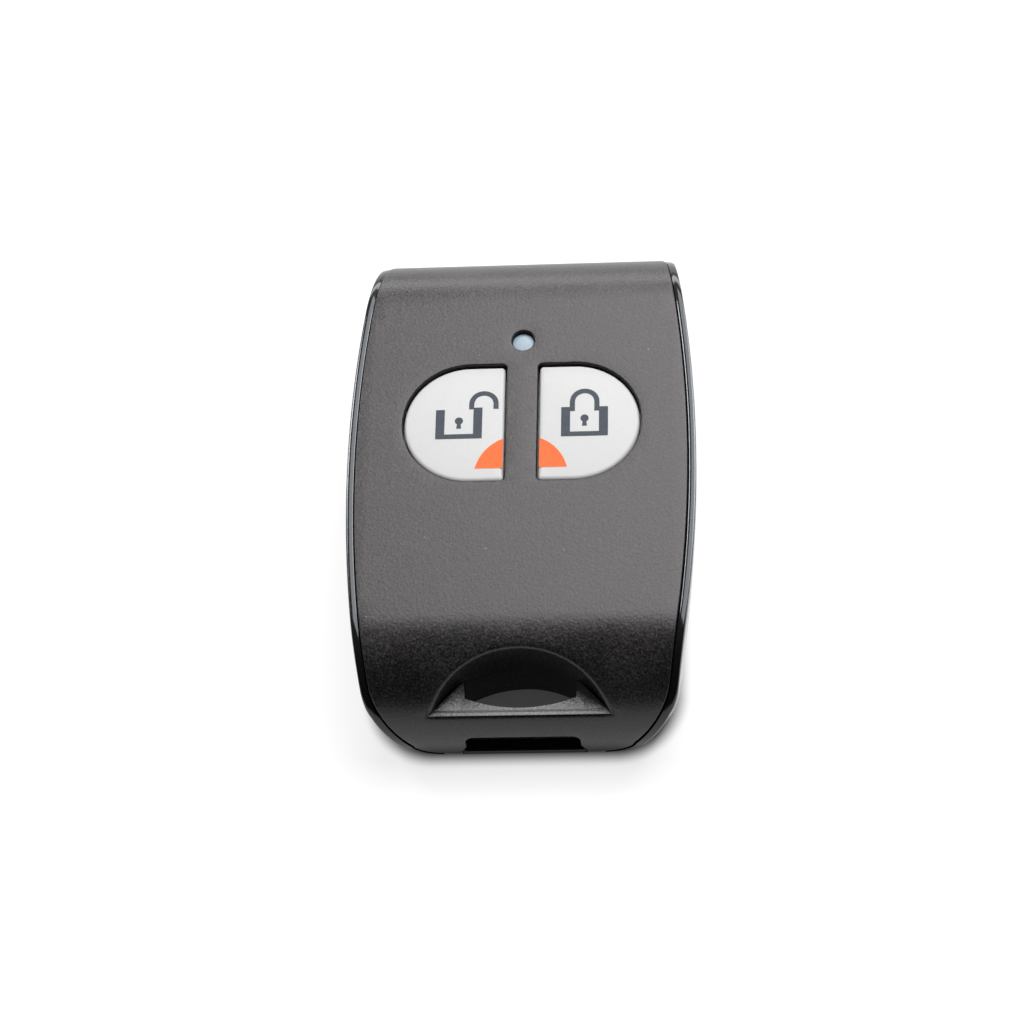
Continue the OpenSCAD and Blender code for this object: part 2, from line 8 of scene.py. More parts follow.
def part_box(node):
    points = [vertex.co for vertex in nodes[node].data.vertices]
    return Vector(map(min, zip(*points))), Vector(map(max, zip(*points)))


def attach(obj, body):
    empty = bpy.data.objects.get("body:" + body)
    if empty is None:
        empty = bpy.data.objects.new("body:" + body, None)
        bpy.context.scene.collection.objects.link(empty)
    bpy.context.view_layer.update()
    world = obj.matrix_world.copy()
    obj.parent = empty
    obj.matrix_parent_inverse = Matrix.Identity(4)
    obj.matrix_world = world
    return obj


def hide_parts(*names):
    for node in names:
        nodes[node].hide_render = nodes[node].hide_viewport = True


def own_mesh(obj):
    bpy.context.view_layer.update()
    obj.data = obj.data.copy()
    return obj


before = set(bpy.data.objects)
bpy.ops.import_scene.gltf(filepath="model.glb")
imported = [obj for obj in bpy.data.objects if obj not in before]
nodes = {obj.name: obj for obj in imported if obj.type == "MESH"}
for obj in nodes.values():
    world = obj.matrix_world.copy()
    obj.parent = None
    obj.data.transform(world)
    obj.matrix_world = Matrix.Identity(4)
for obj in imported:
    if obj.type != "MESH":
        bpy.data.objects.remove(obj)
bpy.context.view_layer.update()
mm = 0.001
print("frame loaded:", len(nodes), "nodes")

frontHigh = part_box("front_cover")[1]
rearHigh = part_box("rear_cover")[1]
capLow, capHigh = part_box("lock_button")
pipeLow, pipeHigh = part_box("light_pipe")

# lengths are in millimetres until a piece is finished
caseShape = {
    "halfWidth": rearHigh.x / mm,
    "halfLength": 28.0,
    "height": frontHigh.z / mm,
    "frontHalf": 17.1,  # half width of the front sheet
    "sideArc": 150.0,   # long curve of each side
    "frontCorner": 3.8,
    "cheekCorner": 3.6,
    "roll": 10.0,       # radius of the rolled ends
    "sheet": 1.5,
    "foot": 0.3,        # lower edge of the end walls
    "footHalf": 6.9,    # half width of the straight foot of the end walls
    # from the straight foot up to the corner: across, up
    "footCurve": ((0.0, 0.0), (1.3, 0.12), (2.3, 0.35), (3.1, 0.68), (3.75, 1.12), (4.2, 1.65)),
    "seam": 0.12,
    "edge": 0.14,       # rounding of the sheet edges
    "hole": 0.16,       # rounding of the openings
    "tuck": 1.0,        # how far ribs reach up into the sheet
}
meshRule = {
    "merge": 2e-4,  # points closer than this become one
    "crease": math.radians(38),  # edges sharper than this stay sharp
    "mitre": 0.35,  # keeps a narrow corner from running out
    "round": 5,     # steps in a rounded edge
}
flatHalf = caseShape["halfLength"] - caseShape["roll"]
rollZ = caseShape["height"] - caseShape["roll"]
rollRun = caseShape["roll"] * math.pi / 2
sheetEnd = flatHalf + rollRun + rollZ - caseShape["foot"]


def nodeBox(node):
    return [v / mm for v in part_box(node)]


# mesh helpers
def meshFrom(name, bm):
    mesh = bpy.data.meshes.new(name)
    bm.to_mesh(mesh)
    bm.free()
    return mesh


def addObject(name, data):
    made = bpy.data.objects.new(name, data)
    bpy.context.scene.collection.objects.link(made)
    return made


def finishPiece(name, bm, body, materials, standsFor=()):
    # cleans the mesh, turns it to metres, ties it to its body and hides the nodes it stands for
    bmesh.ops.remove_doubles(bm, verts=bm.verts, dist=meshRule["merge"])
    bmesh.ops.recalc_face_normals(bm, faces=bm.faces)
    bmesh.ops.scale(bm, vec=(mm, mm, mm), verts=bm.verts)
    mesh = meshFrom(name, bm)
    mesh.shade_smooth()
    mesh.set_sharp_from_angle(angle=meshRule["crease"])
    for material in materials:
        mesh.materials.append(material)
    piece = addObject(name, mesh)
    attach(piece, body)
    if standsFor:
        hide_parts(*standsFor)
    return piece


def ring(bm, points):
    return [bm.verts.new(p) for p in points]


def flatRing(bm, loop, z):
    return ring(bm, [(x, y, z) for x, y in loop])


def skin(bm, a, b, closed=True):
    n = len(a)
    for i in range(n if closed else n - 1):
        j = (i + 1) % n
        bm.faces.new((a[i], a[j], b[j], b[i]))


def skinRows(bm, rows):
    for a, b in zip(rows, rows[1:]):
        skin(bm, a, b)


def closeEnds(bm, rows):
    bm.faces.new(rows[0])
    bm.faces.new(rows[-1])


def loft(bm, rows):
    # closed solid through a stack of rings
    skinRows(bm, rows)
    closeEnds(bm, rows)


def insideLoop(x, y, loop):
    found = False
    for i in range(len(loop)):
        (x0, y0), (x1, y1) = loop[i - 1], loop[i]
        if (y0 > y) != (y1 > y) and x < (x1 - x0) * (y - y0) / (y1 - y0) + x0:
            found = not found
    return found


def insideAll(x, y, loops, clear):
    # within the outer loop, outside the holes and clear of every edge
    if not insideLoop(x, y, loops[0]) or any(insideLoop(x, y, hole) for hole in loops[1:]):
        return False
    return all((px - x) ** 2 + (py - y) ** 2 > clear ** 2 for loop in loops for px, py in loop)


def fillRegion(bm, loops, rings, inner, place):
    # triangles between an outer loop and its holes, with place() setting the inner points
    coords, owners, edges = [], [], []
    for loop, verts in zip(loops, rings):
        start = len(coords)
        coords += [Vector((p[0], p[1])) for p in loop]
        owners += verts
        edges += [(start + i, start + (i + 1) % len(loop)) for i in range(len(loop))]
    coords += [Vector(p) for p in inner]
    points, _, faces, origins = delaunay_2d_cdt(coords, edges, [], 2, 1e-5)[:4]
    verts = []
    for p, origin in zip(points, origins):
        known = [k for k in origin if k < len(owners)]
        verts.append(owners[known[0]] if known else bm.verts.new(place(p.x, p.y)))
    for face in faces:
        corner = [verts[k] for k in face]
        middle = sum((points[k] for k in face), Vector((0, 0))) / len(face)
        inHole = any(insideLoop(*middle, hole) for hole in loops[1:])
        if insideLoop(*middle, loops[0]) and not inHole and len(set(corner)) == len(corner):
            bm.faces.new(corner)


def fillFlat(bm, loops, rings, z):
    fillRegion(bm, loops, rings, [], lambda x, y: (x, y, z))


def grow(loop, d):
    # moves each point of a counter-clockwise loop outward by d, mitred at corners
    out, n = [], len(loop)
    for i, p in enumerate(loop):
        a, b = Vector(loop[i - 1][:2]), Vector(loop[(i + 1) % n][:2])
        q = Vector(p[:2])
        u, v = (q - a).normalized(), (b - q).normalized()
        nu, nv = Vector((u.y, -u.x)), Vector((v.y, -v.x))
        m = (nu + nv) / max(meshRule["mitre"], 1 + nu.dot(nv))
        out.append((q.x + d * m.x, q.y + d * m.y))
    return out


def rounded(start, corner, end):
    # points of a rounding from start to end, tangent to the faces that meet at the corner
    pts = []
    for k in range(meshRule["round"] + 1):
        t = k / meshRule["round"]
        pts.append(start * (1 - t) ** 2 + corner * 2 * t * (1 - t) + end * t * t)
    return pts


def arcPoints(cx, cy, r, a0, a1, steps):
    angles = [math.radians(a0 + (a1 - a0) * i / steps) for i in range(steps + 1)]
    return [(cx + r * math.cos(a), cy + r * math.sin(a)) for a in angles]


def barrelSide(halfW, halfL, arc, corner, cornerSteps=22, sideSteps=60):
    # right half of the outline, from the ring end to the lamp end, with each outward angle
    cy = halfL - corner
    cx = halfW - arc + math.sqrt((arc - corner) ** 2 - cy ** 2)
    meet = math.asin(cy / (arc - corner))
    turn = math.pi / 2 - meet
    arcs = [(cx, -cy, corner, -math.pi / 2 + turn * i / cornerSteps) for i in range(cornerSteps)]
    arcs += [(halfW - arc, 0.0, arc, meet * (2 * i / sideSteps - 1)) for i in range(sideSteps + 1)]
    arcs += [(cx, cy, corner, meet + turn * i / cornerSteps) for i in range(1, cornerSteps + 1)]
    return [(x + r * math.cos(a), y + r * math.sin(a), a) for x, y, r, a in arcs]


# the front sheet is drawn flat, s along its length, and bent over the side profile
def bend(x, s, depth=0.0):
    side, run, r = (-1 if s < 0 else 1), abs(s), caseShape["roll"] - depth
    if run <= flatHalf:
        return Vector((x, s, caseShape["height"] - depth))
    if run <= flatHalf + rollRun:
        t = (run - flatHalf) / caseShape["roll"]
        return Vector((x, side * (flatHalf + r * math.sin(t)), rollZ + r * math.cos(t)))
    return Vector((x, side * (caseShape["halfLength"] - depth), rollZ - (run - flatHalf - rollRun)))


def along(y):
    # distance along the sheet to a place given by its y
    run = abs(y)
    if run > flatHalf:
        run = flatHalf + caseShape["roll"] * math.asin(min(1, (run - flatHalf) / caseShape["roll"]))
    return math.copysign(run, y)


def profileZ(y):
    # height of the face at y
    run = max(0, min(abs(y), caseShape["halfLength"]) - flatHalf)
    return rollZ + math.sqrt(caseShape["roll"] ** 2 - run ** 2)


def sheetOutline(notch):
    # outline of the flat sheet, with the notch in its lower end
    c = caseShape
    right = barrelSide(c["frontHalf"], c["halfLength"], c["sideArc"], c["frontCorner"])
    side = [(x, along(y)) for x, y, a in right]
    fx, se = c["footHalf"], sheetEnd
    curve = [(fx + x, se - z) for x, z in c["footCurve"]]
    side = [(x, -v) for x, v in curve] + side + curve[::-1]
    top = [(fx * (1 - 2 * i / 8), se) for i in range(1, 8)]
    other = [(-x, s) for x, s in reversed(side)]

    def atHeight(z):
        if z > rollZ:
            return -(flatHalf + c["roll"] * math.acos(min(1, (z - rollZ) / c["roll"])))
        return -(flatHalf + rollRun + rollZ - z)

    half, r = notch["half"], notch["corner"]
    foot, head = -se, atHeight(notch["top"])
    left = [(-half - notch["flare"], foot), (-half, atHeight(notch["flareTop"]))]
    turns = [math.radians(t) for t in range(0, 91, 15)]
    left += [(-half + r - r * math.cos(t), head - r + r * math.sin(t)) for t in turns]
    bottom = left + [(0.0, head)] + [(-x, s) for x, s in reversed(left)]
    return side + top + other + bottom


notchShape = {"half": 5.8, "flare": 0.75, "flareTop": 1.9, "top": 3.9, "corner": 0.9}
capShape = {
    "inner": 1.77,        # straight inner edge of each cap from the centre line
    "run": 3.63,
    "stops": (1.2, 2.4),  # points along the straight edges
    "radius": 6.85,
    "midY": 3.95,
    "corner": 0.45,
    "gap": 0.15,
    "edge": 0.5,          # rounding of the face edge
    "top": capHigh.z / mm - 0.015,
    "flangeTop": 10.95,
    "flange": 0.5,
    "low": 10.2,
    "pressX": 5.9,        # stem that pushes the dome
    "pressLow": capLow.z / mm,
    "pressR": 2.3,
    "pressFoot": 0.9,     # share of the stem left at its foot
    "pressEdge": 0.2,
    "overlap": 0.3,       # stem reaching into the cap
}
lampShape = {
    "y": 13.85,
    "radius": pipeHigh.x / mm - 0.6,
    "hole": 1.2,
    "top": pipeHigh.z / mm,
    "proud": 0.42,
    "collar": (0.6, 10.1, 11.0),  # width, lower and upper height of the collar
    "rim": ((0.0, 0.16), (0.06, 0.08), (0.25, 0.03)),  # rounded edge: inward, below the top
}
eyeShape = {
    "flat": -26.9,        # straight edge of the recess
    "rise": 5.28,
    "arc": 10.43,
    "slope": 4.0,
    "slotHalf": 5.6,
    "bar": 0.86,
    "scallop": 14.2,
    "floor": 1.9,
    "edge": 0.5,
    "wall": (0.03, 1.1),  # near and far face of the recess wall, outward from its outline
    "flatWall": 0.15,     # depth of the straight wall and of the arched one
    "archWall": 0.8,
}
barShape = {
    "tip": (9.25, 0.04),  # end of the bar, the top of its facet and the foot by the wall
    "hump": (6.82, 2.1),
    "wall": (0.15, 3.75),
    "facet": 0.45,        # rise of the end facets toward the recess wall
    "sink": 0.012,        # below the edge of the recess
    "low": 4.0,
    "back": (7.2, 1.0, 4.6, 0.1, 0.05),  # wall behind the lip: half width, low, high and gaps
}


def capLoop(side, extra=0.0):
    c = capShape
    r, x0, cx = c["radius"] + extra, c["inner"] - extra, c["inner"] + c["run"]
    k = c["corner"] + extra * 0.5
    pts = arcPoints(cx, c["midY"], r, -90, 90, 44)
    pts += [(cx - d, c["midY"] + r) for d in c["stops"]]
    pts += arcPoints(x0 + k, c["midY"] + r - k, k, 90, 180, 6)
    pts += [(x0, c["midY"] + r * t) for t in (0.6, 0.3, 0, -0.3, -0.6)]
    pts += arcPoints(x0 + k, c["midY"] - r + k, k, 180, 270, 6)
    pts += [(cx - d, c["midY"] - r) for d in reversed(c["stops"])]
    if side < 0:
        pts = [(-x, y) for x, y in reversed(pts)]
    return pts


def eyeLoop():
    e = eyeShape
    cy = e["flat"] + e["rise"] - e["arc"]
    start = math.degrees(math.asin((e["arc"] - e["rise"]) / e["arc"]))
    arc = arcPoints(0, cy, e["arc"], start, 180 - start, 56)
    x0 = arc[-1][0]
    return arc + [(x0 + (-2 * x0) * i / 24, e["flat"]) for i in range(1, 24)]


# surface effects shared by the materials
def setInputs(tree, node, inputs):
    # links sockets and sets plain values
    for label, value in inputs.items():
        if isinstance(value, bpy.types.NodeSocket):
            tree.links.new(value, node.inputs[label])
        else:
            node.inputs[label].default_value = value


def addNode(tree, kind, inputs=None, **settings):
    node = tree.nodes.new(kind)
    for key, value in settings.items():
        setattr(node, key, value)
    setInputs(tree, node, inputs or {})
    return node


def mathNode(tree, op, *values):
    return addNode(tree, "ShaderNodeMath", dict(enumerate(values)), operation=op).outputs[0]


def objectPlace(tree):
    return addNode(tree, "ShaderNodeTexCoord").outputs["Object"]


def groupTree(name, kind, inputs, outputs):
    # an empty node group with its sockets
    tree = bpy.data.node_groups.new(name, kind)
    for way, sockets in (("INPUT", inputs), ("OUTPUT", outputs)):
        for label, value in sockets.items():
            tree.interface.new_socket(name=label, in_out=way, socket_type="NodeSocket" + value)
    return tree, tree.nodes.new("NodeGroupInput").outputs


grainLook = {
    "detail": (3.0, 2.0),  # of the fine grain and of the slow change
    "rough": 0.65,
    "pits": 0.6,           # pits to each grain
    "height": (0.7, 0.5),  # shares of the grain and the pits
    "tone": (0.84, 0.16),  # shares of the grain and the slow change
    "speck": 0.05,         # greatest speck of dust, as a share of its cell
}


def makeMouldGrain():
    # spark-eroded mould texture: fine pits with a slow change of tone
    k = grainLook
    tree, given = groupTree("mouldGrain", "ShaderNodeTree", {"Grain": "Float", "Patch": "Float"},
                            {"Height": "Float", "Tone": "Float"})
    at = objectPlace(tree)
    fine = addNode(tree, "ShaderNodeTexNoise", {
        "Vector": at, "Scale": given["Grain"], "Detail": k["detail"][0], "Roughness": k["rough"]})
    slow = addNode(tree, "ShaderNodeTexNoise", {"Vector": at, "Scale": given["Patch"], "Detail": k["detail"][1]})
    spacing = mathNode(tree, "MULTIPLY", given["Grain"], k["pits"])
    pits = addNode(tree, "ShaderNodeTexVoronoi", {"Vector": at, "Scale": spacing})
    result = {}
    for label, other in (("Height", pits.outputs["Distance"]), ("Tone", slow.outputs[0])):
        shares = zip((fine.outputs[0], other), k[label.lower()])
        result[label] = mathNode(tree, "ADD", *(mathNode(tree, "MULTIPLY", value, share) for value, share in shares))
    addNode(tree, "NodeGroupOutput", result)
    return tree


def makeDustSpecks():
    # a few pale specks of dust
    tree, given = groupTree("dustSpecks", "ShaderNodeTree", {"Spacing": "Float", "Share": "Float"}, {"Mask": "Float"})
    cells = addNode(tree, "ShaderNodeTexVoronoi", {"Vector": objectPlace(tree), "Scale": given["Spacing"]}).outputs
    pick = addNode(tree, "ShaderNodeSeparateColor", {0: cells["Color"]}).outputs
    radius = mathNode(tree, "MULTIPLY", pick[1], grainLook["speck"])
    near = mathNode(tree, "LESS_THAN", cells["Distance"], radius)
    chosen = mathNode(tree, "GREATER_THAN", pick[0], given["Share"])
    addNode(tree, "NodeGroupOutput", {"Mask": mathNode(tree, "MULTIPLY", near, chosen)})
    return tree


mouldGrain = makeMouldGrain()
dustSpecks = makeDustSpecks()


def newMaterial(name):
    mat = bpy.data.materials.new(name)
    mat.use_nodes = True
    return mat, mat.node_tree, mat.node_tree.nodes["Principled BSDF"]


def rampBetween(tree, value, stops):
    r = addNode(tree, "ShaderNodeValToRGB", {"Fac": value})
    marks = r.color_ramp.elements
    for mark, (at, colour) in zip(marks, (stops[0], stops[-1])):
        mark.position, mark.color = at, (*colour, 1)
    for at, colour in stops[1:-1]:
        marks.new(at).color = (*colour, 1)
    return r.outputs["Color"]


dustColour = (0.19, 0.185, 0.17, 1)
toneSpan = (0.3, 0.7)  # grain tones that reach from the least to the most rough


def setRange(tree, value, results, values=(0.0, 1.0), easing="LINEAR"):
    labels = ("Value", "From Min", "From Max", "To Min", "To Max")
    inputs = dict(zip(labels, (value, *values, *results)))
    return addNode(tree, "ShaderNodeMapRange", inputs, interpolation_type=easing).outputs[0]


def mouldedPlastic(name, dark, light, rough, grain=6500.0, patch=160.0, bump=0.2, depth=0.00003,
                   dust=None, specular=0.5, coat=None, stops=(0.32, 0.7), sheen=(1, 1, 1)):
    # every moulded or printed finish: grained colour, roughness and bump, with optional dust
    mat, tree, bsdf = newMaterial(name)
    g = addNode(tree, "ShaderNodeGroup", node_tree=mouldGrain, inputs={"Grain": grain, "Patch": patch})
    tone = g.outputs["Tone"]
    colour = rampBetween(tree, tone, [(stops[0], dark), (stops[1], light)])
    if dust:
        spacing, share = dust
        d = addNode(tree, "ShaderNodeGroup", node_tree=dustSpecks, inputs={"Spacing": spacing, "Share": share})
        mix = {"Factor": d.outputs["Mask"], "A": colour, "B": dustColour}
        colour = addNode(tree, "ShaderNodeMix", mix, data_type="RGBA").outputs["Result"]
    relief = addNode(tree, "ShaderNodeBump", {"Strength": bump, "Distance": depth, "Height": g.outputs["Height"]})
    setInputs(tree, bsdf, {
        "Base Color": colour,
        "Roughness": setRange(tree, tone, rough, toneSpan),
        "Normal": relief.outputs["Normal"],
        "Specular IOR Level": specular,
        "Specular Tint": (*sheen, 1),
    })
    if coat:
        setInputs(tree, bsdf, {"Coat Weight": coat, "Coat Roughness": 0.08})
    return mat


# dark and light tone, then the least and most roughness
satinCharcoal = mouldedPlastic(
    "satinCharcoal", (0.0066, 0.006, 0.0061), (0.083, 0.078, 0.08), (0.24, 0.44),
    grain=5000, bump=0.52, depth=0.00004, dust=(560, 0.0), specular=0.47,
    stops=(0.46, 0.78), sheen=(1.0, 0.955, 0.97))
# the bar's copy of the cover plastic: its coarse grain is real, its lighter tone is painted light on the slope that
# faces the lamps
coarseCharcoalPaintedLight = mouldedPlastic(
    "coarseCharcoalPaintedLight", (0.014, 0.0137, 0.0133), (0.15, 0.148, 0.15), (0.28, 0.44),
    grain=4200, bump=0.7, depth=0.00004, dust=(420, 0.9), specular=0.9,
    stops=(0.46, 0.74))
glossBlack = mouldedPlastic(
    "glossBlack", (0.004, 0.004, 0.0045), (0.008, 0.008, 0.009), (0.09, 0.15),
    grain=2500, bump=0.03, depth=0.00001, specular=0.4, coat=0.12, sheen=(0.9, 0.95, 1.0))
capWhite = mouldedPlastic(
    "capWhite", (0.54, 0.547, 0.543), (0.574, 0.576, 0.57), (0.34, 0.44),
    grain=3800, patch=110, bump=0.04, specular=0.3)
legendInk = mouldedPlastic(
    "legendInk", (0.051, 0.06, 0.077), (0.074, 0.086, 0.104), (0.42, 0.55),
    grain=4200, bump=0.08, specular=0.12)
orangeInk = mouldedPlastic(
    "orangeInk", (0.86, 0.137, 0.035), (0.93, 0.17, 0.048), (0.36, 0.46),
    grain=4200, bump=0.08, specular=0.12)
paleWindow = mouldedPlastic(
    "paleWindow", (0.26, 0.345, 0.425), (0.34, 0.42, 0.5), (0.3, 0.42),
    grain=2600, bump=0.05)


def brushedMetal(name, dark, light, rough, lines=9000.0):
    # drawn or plated metal with fine lines along the part
    mat, tree, bsdf = newMaterial(name)
    place = addNode(tree, "ShaderNodeMapping", {"Vector": objectPlace(tree), "Scale": (1.0, 0.06, 1.0)})
    n = addNode(tree, "ShaderNodeTexNoise", {"Vector": place.outputs[0], "Scale": lines, "Detail": 2.0}).outputs[0]
    setInputs(tree, bsdf, {
        "Base Color": rampBetween(tree, n, [(0.35, dark), (0.65, light)]),
        "Roughness": setRange(tree, n, rough),
        "Metallic": 1.0,
    })
    return mat


boardLook = {
    "mask": (0.007, 0.065, 0.032),
    "track": (0.018, 0.125, 0.06),
    "blocks": 210.0,  # patches of tracks that run the same way
    "lines": 1250.0,  # tracks to the metre
    "width": 0.42,    # share of the spacing that a track fills
    "across": 0.66,   # patches above this run across, below the next they run down
    "down": 0.3,
    "rough": (0.25, 0.4),
    "grain": 2500.0,
    "relief": (0.4, 0.00003),
}


def boardFinish():
    # solder mask over a pattern of tracks
    k = boardLook
    mat, tree, bsdf = newMaterial("boardGreen")
    at = objectPlace(tree)
    split = addNode(tree, "ShaderNodeSeparateXYZ", {0: at}).outputs
    blocks = addNode(tree, "ShaderNodeTexVoronoi", {"Vector": at, "Scale": k["blocks"]})
    pick = addNode(tree, "ShaderNodeSeparateColor", {0: blocks.outputs["Color"]}).outputs[0]
    picked = (mathNode(tree, "GREATER_THAN", pick, k["across"]), mathNode(tree, "LESS_THAN", pick, k["down"]))
    runs = []
    for i in (0, 1):
        wave = mathNode(tree, "FRACT", mathNode(tree, "MULTIPLY", split[i], k["lines"]))
        runs.append(mathNode(tree, "MULTIPLY", mathNode(tree, "LESS_THAN", wave, k["width"]), picked[i]))
    tracks = mathNode(tree, "MAXIMUM", *runs)
    n = addNode(tree, "ShaderNodeTexNoise", {"Vector": at, "Scale": k["grain"]})
    strength, depth = k["relief"]
    relief = addNode(tree, "ShaderNodeBump", {"Strength": strength, "Distance": depth, "Height": tracks})
    setInputs(tree, bsdf, {
        "Base Color": rampBetween(tree, tracks, [(0.2, k["mask"]), (0.8, k["track"])]),
        "Roughness": setRange(tree, n.outputs[0], k["rough"]),
        "Normal": relief.outputs["Normal"],
    })
    return mat


boardGreen = boardFinish()
greySilicone = mouldedPlastic(
    "greySilicone", (0.46, 0.46, 0.44), (0.55, 0.55, 0.53), (0.5, 0.66),
    grain=2600, patch=220, bump=0.15)
carbonPill = mouldedPlastic(
    "carbonPill", (0.012, 0.012, 0.012), (0.03, 0.03, 0.03), (0.55, 0.75),
    grain=5000, bump=0.3)
chipEpoxy = mouldedPlastic(
    "chipEpoxy", (0.014, 0.014, 0.015), (0.028, 0.028, 0.029), (0.5, 0.68),
    grain=9000, bump=0.3)
partCeramic = mouldedPlastic(
    "partCeramic", (0.12, 0.075, 0.04), (0.19, 0.12, 0.07), (0.4, 0.55),
    grain=6000, bump=0.1)
lampBody = mouldedPlastic(
    "lampBody", (0.66, 0.65, 0.6), (0.76, 0.75, 0.7), (0.3, 0.45),
    grain=5000, bump=0.05)
sealBlack = mouldedPlastic(
    "sealBlack", (0.02, 0.02, 0.021), (0.04, 0.04, 0.041), (0.5, 0.65),
    grain=5000, bump=0.1)
goldPlate = brushedMetal("goldPlate", (0.7, 0.48, 0.18), (0.85, 0.62, 0.27), (0.2, 0.38))
tinPlate = brushedMetal("tinPlate", (0.55, 0.55, 0.56), (0.72, 0.72, 0.73), (0.22, 0.42))
cellSteel = brushedMetal("cellSteel", (0.6, 0.6, 0.6), (0.66, 0.66, 0.66), (0.24, 0.34), 14000.0)
springMetal = brushedMetal("springMetal", (0.5, 0.47, 0.42), (0.66, 0.63, 0.57), (0.25, 0.42))
print("materials made")


def addBlock(bm, low, high, edge=0.12):
    made = bmesh.ops.create_cube(bm, size=1.0)["verts"]
    for v in made:
        v.co = Vector([low[i] + (v.co[i] + 0.5) * (high[i] - low[i]) for i in range(3)])
    edges = list(dict.fromkeys(e for v in made for e in v.link_edges))
    bmesh.ops.bevel(bm, geom=edges, offset=edge, segments=2, profile=0.5, affect="EDGES")


def addTurned(bm, cx, cy, profile, steps=40, a0=0.0, a1=360.0):
    # closed solid turned from (radius, height) points, whole or part of a turn
    full = abs(a1 - a0) >= 359.9
    rings = []
    count = steps if full else steps + 1
    for i in range(count):
        a = math.radians(a0 + (a1 - a0) * i / steps)
        rings.append(ring(bm, [(cx + r * math.cos(a), cy + r * math.sin(a), z) for r, z in profile]))
    for i in range(steps):
        skin(bm, rings[i], rings[(i + 1) % count])
    if not full:
        closeEnds(bm, rings)


insideShape = {
    "postX": 11.4,              # posts that carry the board, and their locating pins
    "postHigh": 19.5,
    "postLow": 2.3,
    "post": 1.5,
    "pin": 0.75,
    "pinRise": 1.4,
    "board": 5.6,
    "boardTop": 6.6,
    "boss": (1.05, 1.75, 6.7, 6.8),  # socket for a pin: bore, outside, foot and its rounding
    "cellY": -8.9,              # cup round the coin cell, open at the board and the eye
    "cupIn": 10.15,
    "cupOut": 11.05,
    "cupTop": 3.9,
    "cupArcs": ((-58, 76), (104, 238)),
    "edges": (0.1, 0.2, 0.15),  # chamfers of a post, its pin and the cup
    "root": 1.0,                # height where posts and cup start, inside the floor
    "skirtHalf": 16.3,          # ribs under the long edges of the front sheet
    "skirt": 1.0,
    "skirtY": 22.0,
    "skirtZ": 4.1,
}
sheetGrid = {"rolled": 0.6, "flat": 1.8, "across": 1.2, "clear": 0.45}  # spacing of the inner points


# front cover: bent sheet with its openings, key-ring well and bar, ribs and bosses
def buildSheet(bm):
    e, edge = eyeShape, caseShape["edge"]
    loops = [sheetOutline(notchShape)]
    loops += [capLoop(1, capShape["gap"]), capLoop(-1, capShape["gap"])]
    loops += [arcPoints(0, lampShape["y"], lampShape["hole"], 0, 360, 40)[:-1]]
    eyePlan = eyeLoop()
    loops.append([(x, along(y)) for x, y in eyePlan])
    slope = math.radians(e["slope"])
    down, straight = Vector((0, math.cos(slope), -math.sin(slope))), Vector((0, 0, -1))
    topLoops, topRings, lowLoops, lowRings = [], [], [], []
    for k, loop in enumerate(loops):
        isOutline, isEye = k == 0, k == len(loops) - 1
        r = e["edge"] if isEye else (edge if isOutline else caseShape["hole"])
        inset = grow(loop, -r if isOutline else r)
        columns = []
        for i, ((x, s), (xi, si)) in enumerate(zip(loop, inset)):
            p0, p1 = bend(xi, si), bend(x, s)
            if isEye:
                onFlat = i > 0 and eyePlan[i][1] <= e["flat"] + 1e-6
                wall, deep = (down, e["flatWall"]) if onFlat else (straight, e["archWall"])
                p2, p3 = p1 + wall * r, p1 + wall * (r + deep)
            else:
                p2, p3 = bend(x, s, r), bend(x, s, caseShape["sheet"])
            columns.append(rounded(p0, p1, p2) + [p3])
        rings = [ring(bm, row) for row in zip(*columns)]
        skinRows(bm, rings)
        topLoops.append(inset)
        topRings.append(rings[0])
        lowLoops.append(loop)
        lowRings.append(rings[-1])
    g = sheetGrid
    runs = [flatHalf + t * g["rolled"] for t in range(0, 60)]
    rolled = {round(v, 4) for run in runs if run < sheetEnd - 0.5 for v in (run, -run)}
    flat = {round(-flatHalf + t * g["flat"], 4) for t in range(0, 21)}
    grid = [(i * g["across"], s) for s in sorted(rolled | flat) for i in range(-14, 15)]
    inner = [p for p in grid if insideAll(*p, topLoops, g["clear"])]
    fillRegion(bm, topLoops, topRings, inner, bend)
    innerLow = [p for p in inner[::2] if insideAll(*p, lowLoops, g["clear"])]
    fillRegion(bm, lowLoops, lowRings, innerLow, lambda x, s: bend(x, s, caseShape["sheet"]))


def buildWell(bm):
    # arched wall of the key-ring recess
    e = eyeShape
    loop = [p for p in eyeLoop() if p[1] > e["flat"] + 1e-6]
    faces = []
    for d in e["wall"]:
        face = grow(loop, d)
        face[0], face[-1] = (loop[0][0] + d, loop[0][1]), (loop[-1][0] - d, loop[-1][1])
        faces.append(face)
    high = [[(x, y, profileZ(y) - caseShape["tuck"]) for x, y in face] for face in faces]
    low = [[(x, y, e["floor"]) for x, y in face] for face in faces]
    rows = [ring(bm, row) for row in (high[0], low[0], low[1], high[1])]
    for a, b in zip(rows, rows[1:] + rows[:1]):
        skin(bm, a, b, closed=False)
    for k in (0, -1):
        bm.faces.new([r[k] for r in rows])


def slopeZ(y):
    # height of the sloped bar at y
    e = eyeShape
    return profileZ(e["flat"]) - (y - e["flat"]) * math.tan(math.radians(e["slope"])) - barShape["sink"]


